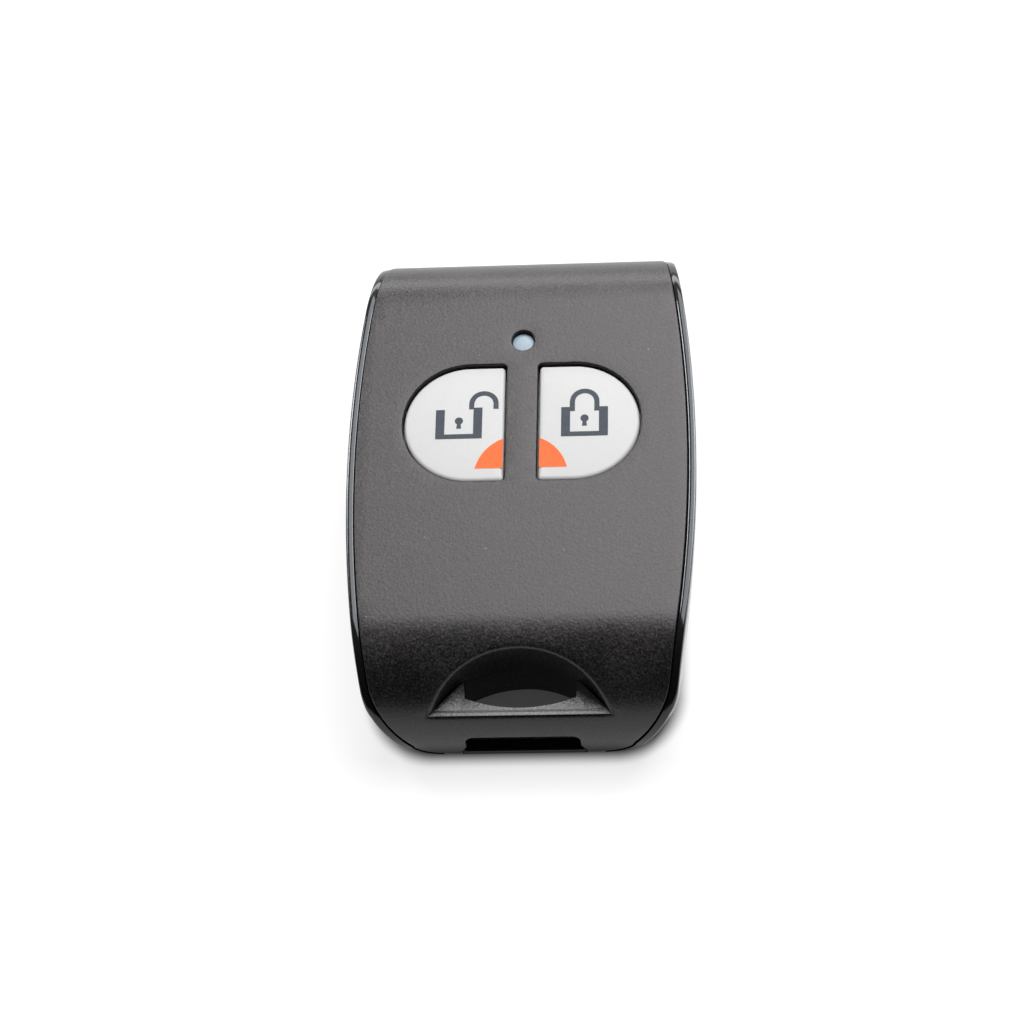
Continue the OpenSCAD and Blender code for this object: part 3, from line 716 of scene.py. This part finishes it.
def buildBar(bm):
    # sloped bar with a scalloped edge and a steep facet at each end
    e, b = eyeShape, barShape
    cy = e["flat"] + e["bar"] + e["scallop"]
    scallopY = lambda x: cy - math.sqrt(e["scallop"] ** 2 - x * x)
    half = e["slotHalf"]
    tip, hump = ((x, e["flat"] + y) for x, y in (b["tip"], b["hump"]))
    wall = (half + b["wall"][0], e["flat"] + b["wall"][1])
    foot = (half, scallopY(half))
    steps = [math.cos(math.radians(t)) * half for t in range(6, 175, 6)]
    plan = [tip, wall, foot] + [(x, scallopY(x)) for x in steps]
    plan += [(-x, y) for x, y in (foot, wall, tip)]
    plan += [(-tip[0] + 2 * tip[0] * i / 12, tip[1]) for i in range(1, 12)]
    lift = {1: b["facet"], len(steps) + 4: b["facet"]}  # the two wall points
    top = ring(bm, [(x, y, slopeZ(y) + lift.get(i, 0.0)) for i, (x, y) in enumerate(plan)])
    low = flatRing(bm, plan, b["low"])
    skin(bm, top, low)
    fillRegion(bm, [plan], [top], [hump, (-hump[0], hump[1])], lambda x, y: (x, y, slopeZ(y)))
    fillFlat(bm, [plan], [low], b["low"])
    # wall that closes the notch behind the lip
    reach, bottom, head, front, rear = b["back"]
    addBlock(bm, (-reach, e["flat"] + front, bottom), (reach, e["flat"] + e["bar"] - rear, head), 0.1)


def buildSkirts(bm):
    # ribs under the long edges and the sockets of the two pins
    k, arc, tuck = insideShape, caseShape["sideArc"], caseShape["tuck"]
    bore, outside, foot, soft = k["boss"]
    for side in (-1, 1):
        rows = []
        for i in range(31):
            y = k["skirtY"] * (i / 15 - 1)
            x = k["skirtHalf"] - arc + math.sqrt(arc ** 2 - y * y)
            near, top, low = x - k["skirt"], profileZ(y) - tuck, k["skirtZ"]
            section = [(x, low), (x, top), (near, top), (near, low)]
            rows.append(ring(bm, [(side * px, y, pz) for px, pz in section]))
        loft(bm, rows)
        top, edge = profileZ(k["postHigh"]) - tuck, soft - foot
        addTurned(bm, side * k["postX"], k["postHigh"], [
            (bore, soft), (bore + edge, foot), (outside - edge, foot), (outside, soft),
            (outside, top), (bore, top)], 32)


bm = bmesh.new()
buildBar(bm)
# the bar takes the second material, the lighter copy with painted light
for f in bm.faces:
    f.material_index = 1
buildSheet(bm)
buildWell(bm)
buildSkirts(bm)
finishPiece("frontCoverShell", bm, "front_half", [satinCharcoal, coarseCharcoalPaintedLight], ["front_cover"])
print("front cover made")


# caps
def buildCap(side):
    c = capShape
    bm = bmesh.new()
    face, r, top = capLoop(side), c["edge"], c["top"]
    flange, inset = grow(face, c["flange"]), grow(face, -r)
    levels = [(flange, c["low"]), (flange, c["flangeTop"]), (face, c["flangeTop"])]
    rings = [flatRing(bm, loop, z) for loop, z in levels]
    columns = []
    for (x, y), (xi, yi) in zip(face, inset):
        columns.append(rounded(Vector((x, y, top - r)), Vector((x, y, top)), Vector((xi, yi, top))))
    rings += [ring(bm, row) for row in zip(*columns)]
    skinRows(bm, rings)
    fillFlat(bm, [inset], [rings[-1]], top)
    fillFlat(bm, [flange], [rings[0]], c["low"])
    # stem that pushes the dome
    cx, cy = side * c["pressX"], c["midY"]
    stem = arcPoints(cx, cy, c["pressR"], 0, 360, 40)[:-1]
    foot = [(cx + (x - cx) * c["pressFoot"], cy + (y - cy) * c["pressFoot"]) for x, y in stem]
    levels = [(stem, c["low"] + c["overlap"]), (stem, c["pressLow"] + c["pressEdge"]), (foot, c["pressLow"])]
    rows = [flatRing(bm, loop, z) for loop, z in levels]
    loft(bm, rows)
    return bm


for side, key in ((-1, "unlock"), (1, "lock")):
    finishPiece(key + "Cap", buildCap(side), key + "_key", [capWhite], [key + "_button"])
print("caps made")

# silicone domes, flattened by their caps
domeShape = {
    "neck": 2.3,    # flat head under the cap
    "inside": 0.5,  # wall beside the hollow of the head
    "hole": 3.0,
    "roof": 0.44,   # share of the height above the hollow and above the skirt
    "lip": 0.28,
    "edge": 0.12,
    "clear": 0.02,
}
for key in ("unlock", "lock"):
    bm, k = bmesh.new(), domeShape
    low, high = nodeBox(key + "_dome")
    x, y, radius = (low.x + high.x) / 2, (low.y + high.y) / 2, (high.x - low.x) / 2
    top, neck, e = high.z - k["clear"], k["neck"], k["edge"]
    tall = top - low.z
    roof, lip = top - k["roof"] * tall, top - k["lip"] * tall
    addTurned(bm, x, y, [
        (0.0, roof), (neck - k["inside"], roof), (k["hole"], low.z), (radius - e, low.z), (radius, low.z + e),
        (neck + e, lip - e), (neck, lip + e), (neck, top - e), (neck - e, top), (0.0, top)], 48)
    dome = finishPiece(key + "Dome", bm, "rear_half", [greySilicone], [key + "_dome"])
    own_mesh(dome)
print("domes made")


# rear cover: two gloss cheeks that wrap the corners, floor, cup and posts
cheekShape = {
    "drop": 0.25,               # cheek edge below the sheet
    "edge": 0.2,                # rounding of the upper edge
    "foot": (0.9, 0.8, 6.0),    # draw-in of the base at the sides and ends, and its corner radius
    "rise": (11.0, 7.0),        # height where the draw-in ends, at the sides and corners
    "sweep": 1.2,               # how the draw-in grows toward the base
    "sole": (0.5, 0.18),        # rounding between the side and the base
    "wall": 0.5,
    "floor": 1.5,
    "cornerY": 24.0,            # place along the case where the corner height is reached
    "inner": (7.0, 0.7, 0.12),  # inner wall: greatest height, share of it and the step at its foot
    "first": 0.2,               # height of the lowest row on the side
    "glint": 0.22,              # chamfer along the seam
    "glintDrop": 0.42,          # its fall, as a share of its width
    "tip": 0.3,                 # width of the band where the tip ends
    "flange": (2.0, 3.5),       # join to the floor: usual and greatest reach
    "levels": (0.0, 0.1, 0.2, 0.32, 0.45, 0.6, 0.75, 0.88, 1.0),  # rows up the side
}
floorShape = {
    "half": 15.6,
    "length": 26.1,
    "corner": 5.0,
    "slotReach": 6.4,  # half width of the opening for the key ring
    "slotGrow": 0.9,   # wider than the opening of the front
    "slotLow": -25.85,
}
lipShape = {
    "gap": 0.12,     # at the foot of the notch
    "headGap": 0.1,  # at the top of the lip
    "low": 0.02,
    "high": 0.9,
    "rows": ((-27.95, -0.12), (-27.85, 0.0), (-25.6, 0.0)),  # place along the case, growth of the section
}


def footInset(x, y, a):
    # distance inward to the smaller outline of the base
    sideIn, endIn, rc = cheekShape["foot"]
    hw, hl, arc = caseShape["halfWidth"] - sideIn, caseShape["halfLength"] - endIn, caseShape["sideArc"]
    cy = hl - rc
    cx = hw - arc + math.sqrt((arc - rc) ** 2 - cy ** 2)
    def within(px, py):
        px, py = abs(px), abs(py)
        if py <= cy * arc / (arc - rc):
            return (px - hw + arc) ** 2 + py ** 2 <= arc ** 2
        return py <= hl and (px <= cx or (px - cx) ** 2 + (py - cy) ** 2 <= rc ** 2)
    lo, hi = 0.0, 4.0
    for _ in range(30):
        mid = (lo + hi) / 2
        if within(x - mid * math.cos(a), y - mid * math.sin(a)):
            hi = mid
        else:
            lo = mid
    return hi


def cheekStations():
    # outer top edge, outward angle and seam point, all round one side
    k, c = cheekShape, caseShape
    outline = barrelSide(c["halfWidth"], c["halfLength"], c["sideArc"], c["cheekCorner"])
    sheet = barrelSide(c["frontHalf"], c["halfLength"], c["sideArc"], c["frontCorner"])
    rows = []
    for (x, y, a), (sx, sy, _) in zip(outline, sheet):
        gap = c["seam"] / math.hypot(x - sx, y - sy)
        seam = Vector((sx + (x - sx) * gap, sy + (y - sy) * gap, profileZ(sy) - k["drop"]))
        rows.append((Vector((x, y, profileZ(y) - k["drop"])), a, seam))
    # tips under the curved foot of the sheet
    curve = [(c["footHalf"] + x, c["foot"] + z) for x, z in reversed(c["footCurve"])]
    head = (sheet[-1][0], rollZ)
    (hx, hz), (fx, fz) = head, curve[0]
    line = [head] + [(hx + (fx - hx) * t, hz + (fz - hz) * t) for t in (0.25, 0.5, 0.75)] + curve
    band = outline[-1][0] - head[0]
    tips = []
    for i in range(1, len(line) - 1):
        (x0, z0), (x, z), (x1, z1) = line[i - 1:i + 2]
        t = i / (len(line) - 2)
        off = Vector((z0 - z1, x1 - x0)).normalized() * c["seam"]
        seam = Vector((x + off.x, c["halfLength"], z + off.y - k["drop"] * (1 - t)))
        tips.append((seam + Vector((band + (k["tip"] - band) * t, 0, 0)), math.pi / 2, seam))
    flip = lambda v: Vector((v.x, -v.y, v.z))
    return [(flip(top), -a, flip(seam)) for top, a, seam in reversed(tips)] + rows + tips


def buildCheek(bm, side):
    # rings from the base up the outside, over the edge to the seam and down the inside
    k, up = cheekShape, Vector((0, 0, 1))
    (sideRise, cornerRise), (reach, most) = k["rise"], k["flange"]
    (highest, share, foot), first = k["inner"], k["first"]
    rings = []
    for top, a, seam in cheekStations():
        n = Vector((math.cos(a), math.sin(a), 0))
        lean = footInset(top.x, top.y, a)
        rise = min(sideRise + (cornerRise - sideRise) * min(1.0, abs(top.y) / k["cornerY"]) ** 2, top.z)
        out = lambda z: lean * max(0.0, 1 - z / rise) ** k["sweep"]
        at = lambda d, z: Vector((top.x, top.y, z)) - n * d
        span = seam - top
        toSeam = span.normalized()
        edge = min(k["edge"], span.length * 0.4, top.z * 0.3)
        glint = min(k["glint"], span.length * 0.3)
        fall = up * glint * k["glintDrop"]
        inset = (top - seam).dot(n)
        back = seam - n * max(0.0, k["wall"] - inset) - up * (glint * k["glintDrop"] + 0.03)
        floorZ = min(k["floor"], top.z - 0.12)
        low = floorZ + (min(back.z, highest) - floorZ) * share
        step = floorZ + (low - floorZ) * foot
        heights = [first + (top.z - edge - first) * t for t in k["levels"]]
        pts = [at(out(0) + d, z) for d, z in zip(k["sole"], (0.0, 0.05))]
        pts += [at(out(z), z) for z in heights]
        pts += [top + (toSeam - up) * edge * 0.3, top + toSeam * edge, top + span * 0.5]
        pts += [seam - toSeam * glint, seam - fall, back]
        pts += [at(max(inset, out(z) + k["wall"]), z) for z in (low, step)]
        pts += [at(min(most, out(z) + reach), z) for z in (floorZ, 0.0)]
        rings.append(ring(bm, [(side * v.x, v.y, v.z) for v in pts]))
    loft(bm, rings)


def buildFloor(bm):
    # flat back with the slot for the key ring
    k, e = floorShape, eyeShape
    right = barrelSide(k["half"], k["length"], caseShape["sideArc"], k["corner"], 10, 24)
    plan = [(x, y) for x, y, a in right] + [(-x, y) for x, y, a in reversed(right)]
    reach = k["slotReach"]
    xs = [reach - 2 * reach * i / 24 for i in range(25)]
    arcY, arcR = e["flat"] + e["rise"] - e["arc"], e["arc"] + k["slotGrow"]
    barY, barR = e["flat"] + e["bar"] + e["scallop"], e["scallop"] + k["slotGrow"]
    slot = [(x, arcY + math.sqrt(arcR ** 2 - x * x)) for x in xs]
    slot += [(x, max(k["slotLow"], barY - math.sqrt(barR ** 2 - x * x))) for x in reversed(xs)]
    rows = []
    for z in (0.0, cheekShape["floor"]):
        rings = [flatRing(bm, loop, z) for loop in (plan, slot)]
        fillFlat(bm, [plan, slot], rings, z)
        rows.append(rings)
    for i in (0, 1):
        skin(bm, rows[0][i], rows[1][i])


def buildTray(bm):
    # posts with their pins, cup of the cell and the lip in the notch
    s = insideShape
    post, pin, seat, root = s["post"], s["pin"], s["board"], s["root"]
    postEdge, pinEdge, edge = s["edges"]
    for side in (-1, 1):
        for y, top in ((s["postHigh"], s["boardTop"] + s["pinRise"]), (s["postLow"], s["boardTop"])):
            addTurned(bm, side * s["postX"], y, [
                (0.0, root), (post, root), (post, seat - postEdge), (post - postEdge, seat),
                (pin, seat), (pin, top - pinEdge), (pin - pinEdge, top), (0.0, top)], 28)
    near, far, rim = s["cupIn"], s["cupOut"], s["cupTop"]
    wall = [(near, root), (far, root), (far, rim - edge), (far - edge, rim), (near + edge, rim), (near, rim - edge)]
    for start, end in s["cupArcs"]:
        addTurned(bm, 0, s["cellY"], wall, 40, start, end)
    n, k = notchShape, lipShape
    foot = (n["half"] + n["flare"] - k["gap"], k["low"])
    head = (n["half"] + n["flare"] * 0.5 - k["headGap"], k["high"])
    section = [foot, head, (-head[0], head[1]), (-foot[0], foot[1])]
    rows = [ring(bm, [(x, y, z) for x, z in grow(section, d)]) for y, d in k["rows"]]
    loft(bm, rows)


bm = bmesh.new()
buildCheek(bm, 1)
buildCheek(bm, -1)
buildFloor(bm)
buildTray(bm)
finishPiece("rearCoverShell", bm, "rear_half", [glossBlack], ["rear_cover"])
print("rear cover made")

# indicator window
bm = bmesh.new()
lampR, lampLow, lampTop = lampShape["radius"], pipeLow.z / mm, lampShape["top"] + lampShape["proud"]
collar, collarLow, collarHigh = lampShape["collar"]
lampRim = [(lampR - inward, lampTop - below) for inward, below in lampShape["rim"]]
addTurned(bm, 0, lampShape["y"], [
    (0.0, lampLow), (lampR, lampLow), (lampR, collarLow), (lampR + collar, collarLow),
    (lampR + collar, collarHigh), (lampR, collarHigh), *lampRim, (0.0, lampTop)], 40)
finishPiece("lampWindow", bm, "front_half", [paleWindow], ["light_pipe"])
print("indicator window made")


# small board parts laid out in rows by geometry nodes
def makeRowTree():
    tree, given = groupTree("partsRow", "GeometryNodeTree", {
        "Part": "Geometry", "Count": "Int", "Pitch": "Float", "Start": "Vector", "Turn": "Float",
        "Finish": "Material"}, {"Row": "Geometry"})
    step = addNode(tree, "ShaderNodeCombineXYZ", {"X": given["Pitch"]})
    spin = addNode(tree, "ShaderNodeCombineXYZ", {"Z": given["Turn"]})
    line = addNode(tree, "GeometryNodeMeshLine", {
        "Count": given["Count"], "Start Location": given["Start"], "Offset": step.outputs[0]})
    put = addNode(tree, "GeometryNodeInstanceOnPoints", {
        "Points": line.outputs[0], "Instance": given["Part"], "Rotation": spin.outputs[0]})
    real = addNode(tree, "GeometryNodeRealizeInstances", {0: put.outputs[0]})
    paint = addNode(tree, "GeometryNodeSetMaterial", {"Geometry": real.outputs[0], "Material": given["Finish"]})
    addNode(tree, "NodeGroupOutput", {"Row": paint.outputs[0]})
    return tree


def layRows(bm, part, rows, finish):
    # adds rows of one part to bm, each given by its count, pitch, start and turn
    holder = addObject("rowHolder", meshFrom("rowPart", part))
    sockets = {i.name: i.identifier for i in rowTree.interface.items_tree if i.in_out == "INPUT"}
    for row in rows:
        mod = holder.modifiers.new("row", "NODES")
        mod.node_group = rowTree
        for label, value in zip(("Count", "Pitch", "Start", "Turn", "Finish"), (*row, finish)):
            mod[sockets[label]] = value
        shown = holder.evaluated_get(bpy.context.evaluated_depsgraph_get())
        made = bpy.data.meshes.new_from_object(shown)
        holder.modifiers.remove(mod)
        bm.from_mesh(made)
        bpy.data.meshes.remove(made)
    bpy.data.objects.remove(holder)


def leadPart():
    # one gull-wing lead, reaching out along +Y from the chip
    bm = bmesh.new()
    half = chipShape["leadHalf"]
    rows = [ring(bm, [(x, y, z) for y, z in chipShape["lead"]]) for x in (-half, half)]
    loft(bm, rows)
    return bm


def blockPart(low, high, edge):
    bm = bmesh.new()
    addBlock(bm, low, high, edge)
    return bm


rowTree = makeRowTree()
chipLow, chipHigh = nodeBox("controller_chip")
crystalLow, crystalHigh = nodeBox("crystal_can")
ledLow, ledHigh = nodeBox("indicator_led")
boardTop = insideShape["boardTop"]
chipShape = {
    "pins": 4,
    "pitch": 1.27,
    "leadHalf": 0.2,
    # side of a lead: out from the chip, up
    "lead": ((-0.1, 0.68), (0.33, 0.68), (0.52, 0.18), (1.0, 0.18),
             (1.0, 0.02), (0.4, 0.02), (0.22, 0.52), (-0.1, 0.52)),
    "edge": 0.15,
    "dot": (0.3, 0.7, 0.1, 0.01),  # mark at pin one: radius, place, root and rise
}
crystalShape = {"edge": 0.22, "rim": 0.02, "rimHeight": 0.18}
smallParts = {
    "rowY": 17.4,               # row from the chip to the crystal: place, count and spacing
    "rowX": -3.4,
    "rowCount": 4,
    "gap": 2.367,
    "pitch": 1.35,              # pair beside the crystal
    "pairGap": 0.4,             # pair beside the lamp
    "width": 0.6,
    "length": 1.2,
    "height": 0.45,
    "bare": 0.2,                # length of each end left to the tinned cap
    "cap": 0.26,
    "skin": 0.01,               # thickness of the tinned cap
    "coil": (2.0, 0.625, 0.9),  # length, half width and height of the coil
}
ledShape = {"base": 0.45, "lens": 0.42, "lensLow": 0.3, "lensSide": 0.4}

bm = bmesh.new()
leadX = (chipLow.x + chipHigh.x) / 2 - (chipShape["pins"] - 1) / 2 * chipShape["pitch"]
layRows(bm, leadPart(), [(chipShape["pins"], chipShape["pitch"], (leadX, y, boardTop), turn)
                         for y, turn in ((chipHigh.y, 0.0), (chipLow.y, math.pi))], tinPlate)
finishPiece("chipLeads", bm, "rear_half", [tinPlate], ["controller_leads"])

bm = blockPart(chipLow, chipHigh, chipShape["edge"])
dotR, dotIn, dotRoot, dotRise = chipShape["dot"]
low, top = chipHigh.z - dotRoot, chipHigh.z + dotRise
addTurned(bm, chipLow.x + dotIn, chipLow.y + dotIn, [(0.0, low), (dotR, low), (dotR, top), (0.0, top)], 24)
finishPiece("chipBody", bm, "rear_half", [chipEpoxy], ["controller_chip"])

bm = blockPart(crystalLow, crystalHigh, crystalShape["edge"])
rim = crystalShape["rim"]
addBlock(bm, (crystalLow.x - rim, crystalLow.y - rim, crystalLow.z),
         (crystalHigh.x + rim, crystalHigh.y + rim, crystalLow.z + crystalShape["rimHeight"]), 0.05)
finishPiece("crystalBody", bm, "rear_half", [tinPlate], ["crystal_can"])

p, lampY = smallParts, lampShape["y"]
halfW, halfL, high = p["width"] / 2, p["length"] / 2, p["height"]
partRows = [(p["rowCount"], p["gap"], (p["rowX"], p["rowY"], boardTop), 0.0),
            (2, p["pitch"], (crystalHigh.x + p["pitch"] / 2 + halfW, p["rowY"], boardTop), 0.0),
            (2, -p["length"] - p["pairGap"], (ledLow.x - p["pairGap"] - halfL, lampY, boardTop), math.pi / 2)]
bm = bmesh.new()
body = blockPart((-halfW, -halfL + p["bare"], 0.0), (halfW, halfL - p["bare"], high), 0.04)
layRows(bm, body, partRows, partCeramic)
coilX, (coilL, coilW, coilH) = (crystalLow.x + crystalHigh.x) / 2, p["coil"]
addBlock(bm, (coilX, lampY - coilW, boardTop), (coilX + coilL, lampY + coilW, boardTop + coilH), 0.12)
finishPiece("smallPartBodies", bm, "rear_half", [partCeramic], ["chip_parts"])
bm = bmesh.new()
endX, endTop = halfW + p["skin"], high + p["skin"]
ends = blockPart((-endX, -halfL, 0.0), (endX, -halfL + p["cap"], endTop), 0.05)
addBlock(ends, (-endX, halfL - p["cap"], 0.0), (endX, halfL, endTop), 0.05)
layRows(bm, ends, partRows, tinPlate)
finishPiece("smallPartEnds", bm, "rear_half", [tinPlate])

bm = blockPart(ledLow, (ledHigh.x, ledHigh.y, ledLow.z + ledShape["base"]), 0.06)
lensX, lensY = (ledLow.x + ledHigh.x) / 2, (ledLow.y + ledHigh.y) / 2
lensR, lensLow = (ledHigh.y - ledLow.y) * ledShape["lens"], ledLow.z + ledShape["lensSide"]
lensRise = ledHigh.z - ledLow.z - ledShape["lensSide"]
lens = [(0.0, ledLow.z + ledShape["lensLow"])]
lens += [(lensR * math.cos(t), lensLow + lensRise * math.sin(t)) for t in map(math.radians, range(0, 90, 15))]
addTurned(bm, lensX, lensY, lens + [(0.0, ledHigh.z)], 28)
finishPiece("indicatorBody", bm, "rear_half", [lampBody], ["indicator_led"])
print("board parts made")

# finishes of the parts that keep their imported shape
keptFinish = {
    "unlock_legend": legendInk, "lock_legend": legendInk, "unlock_mark": orangeInk, "lock_mark": orangeInk,
    "keypad_mat": greySilicone, "unlock_pill": carbonPill, "lock_pill": carbonPill,
    "circuit_board": boardGreen, "contact_pads": goldPlate, "antenna_loop": goldPlate,
    "cell_can": cellSteel, "cell_cap": cellSteel, "cell_seal": sealBlack,
    "positive_clip": springMetal, "negative_contact": springMetal,
}
for node, material in keptFinish.items():
    nodes[node].data.materials.clear()
    nodes[node].data.materials.append(material)
print("finishes set")

# studio
studio = {
    "floor": 0.32,              # tone of the floor
    "floorSize": 1.4,
    "paper": 30.0,              # faint change of tone in the floor
    "floorDrop": 0.00002,       # keeps the floor clear of the flat back
    "glowAndPaintedShade": (0.035, 0.76),      # glow of the white ground under and away from the object; the low glow under it is painted shade
    "patch": (9.1, 21.6, 6.0),  # ground under the object, where the glow is cut to paint its shade: half sizes and corner, mm
    "blend": 2.0,               # width of the change from the painted shade to the full glow, mm
    "away": 0.55,               # distance of the lamps
    "lamps": {                  # brightness, width, height, direction
        "key": (5.5, 0.45, 0.43, (0.2, 0.52, 0.83)),
        "low": (5.2, 0.7, 0.12, (0.0, 0.97, 0.24)),
        "right": (11.0, 0.12, 0.12, (0.5, 0.49, 0.71)),
        "left": (24.0, 0.1, 0.09, (-0.54, 0.5, 0.68)),
    },
    "aim": 0.006,               # height that the lamps point at
    "sky": ((0.3, 0.04), (0.6, 0.15), (0.95, 0.6)),  # place and brightness, from the near end to the far end
}
photoView = {
    "azimuth": 9.47,  # degrees, fitted to the photograph with the roll and the lens
    "elevation": 60.8,
    "roll": -9.521,
    "distance": 0.3,
    "target": (-1.355, -3.13, 6.0),  # mm
    "lens": 101.25,
}


def makeFloor():
    bm = bmesh.new()
    bmesh.ops.create_circle(bm, cap_ends=True, segments=96, radius=studio["floorSize"])
    floor = addObject("studioFloor", meshFrom("studioFloor", bm))
    floor.location.z = -studio["floorDrop"]
    mat, tree, bsdf = newMaterial("studioWhiteWithPaintedShade")
    at = objectPlace(tree)
    g = addNode(tree, "ShaderNodeTexNoise", {"Vector": at, "Scale": studio["paper"]})
    v = studio["floor"]
    path = addNode(tree, "ShaderNodeLightPath").outputs
    mirrored = mathNode(tree, "MAXIMUM", path["Is Glossy Ray"], path["Is Transmission Ray"])
    seen = mathNode(tree, "MAXIMUM", path["Is Camera Ray"], mirrored)
    # distance outside the patch under the object, where the glow is cut low as painted shade and contact shadow
    split = addNode(tree, "ShaderNodeSeparateXYZ", {0: at}).outputs
    halfX, halfY, corner = studio["patch"]
    squares = []
    for place, half in ((split[0], halfX), (split[1], halfY)):
        past = mathNode(tree, "SUBTRACT", mathNode(tree, "ABSOLUTE", place), half * mm)
        past = mathNode(tree, "MAXIMUM", past, 0.0)
        squares.append(mathNode(tree, "MULTIPLY", past, past))
    away = mathNode(tree, "SQRT", mathNode(tree, "ADD", *squares))
    # low glow inside the patch is painted shade under the object, full glow further out
    glowWithPaintedShade = setRange(tree, away, studio["glowAndPaintedShade"], (corner * mm, (corner + studio["blend"]) * mm), "SMOOTHSTEP")
    setInputs(tree, bsdf, {
        "Base Color": rampBetween(tree, g.outputs[0], [(0.3, (v, v, v)), (0.7, (v * 1.01, v * 1.005, v))]),
        "Roughness": 0.9,
        "Specular IOR Level": 0.0,
        "Emission Color": (1, 1, 1, 1),
        "Emission Strength": mathNode(tree, "MULTIPLY", seen, glowWithPaintedShade),
    })
    floor.data.materials.append(mat)


def makeLights():
    target = Vector((0, 0, studio["aim"]))
    for name, (level, width, height, direction) in studio["lamps"].items():
        toward = Vector(direction).normalized()
        lamp = bpy.data.lights.new(name + "Softbox", "AREA")
        lamp.shape, lamp.size, lamp.size_y = "RECTANGLE", width, height
        lamp.energy = level * math.pi * width * height
        box = addObject(name + "Softbox", lamp)
        box.location = target + toward * studio["away"]
        box.rotation_mode = "QUATERNION"
        box.rotation_quaternion = toward.to_track_quat("Z", "Y")
    world = bpy.data.worlds.new("studioWorld")
    bpy.context.scene.world = world
    world.use_nodes = True
    tree = world.node_tree
    at = addNode(tree, "ShaderNodeTexCoord").outputs["Generated"]
    split = addNode(tree, "ShaderNodeSeparateXYZ", {0: at}).outputs
    half = mathNode(tree, "ADD", mathNode(tree, "MULTIPLY", split["Y"], 0.5), 0.5)
    sky = rampBetween(tree, half, [(place, (v, v, v)) for place, v in studio["sky"]])
    setInputs(tree, tree.nodes["Background"], {"Color": sky, "Strength": 1.0})


def makeCamera():
    k = photoView
    azimuth, elevation, roll = (math.radians(k[name]) for name in ("azimuth", "elevation", "roll"))
    level = math.cos(elevation)
    back = Vector((math.sin(azimuth) * level, -math.cos(azimuth) * level, math.sin(elevation)))
    right = Vector((math.cos(azimuth), math.sin(azimuth), 0))
    up = back.cross(right)
    right, up = right * math.cos(roll) + up * math.sin(roll), up * math.cos(roll) - right * math.sin(roll)
    data = bpy.data.cameras.new("photoCamera")
    data.lens, data.sensor_width, data.clip_start = k["lens"], 36.0, 0.01
    camera = addObject("photoCamera", data)
    camera.matrix_world = Matrix((right, up, back)).transposed().to_4x4()
    camera.location = Vector(k["target"]) * mm + back * k["distance"]
    bpy.context.scene.camera = camera


makeFloor()
makeLights()
makeCamera()
bpy.context.scene.view_settings.view_transform = "Standard"
print("studio made")
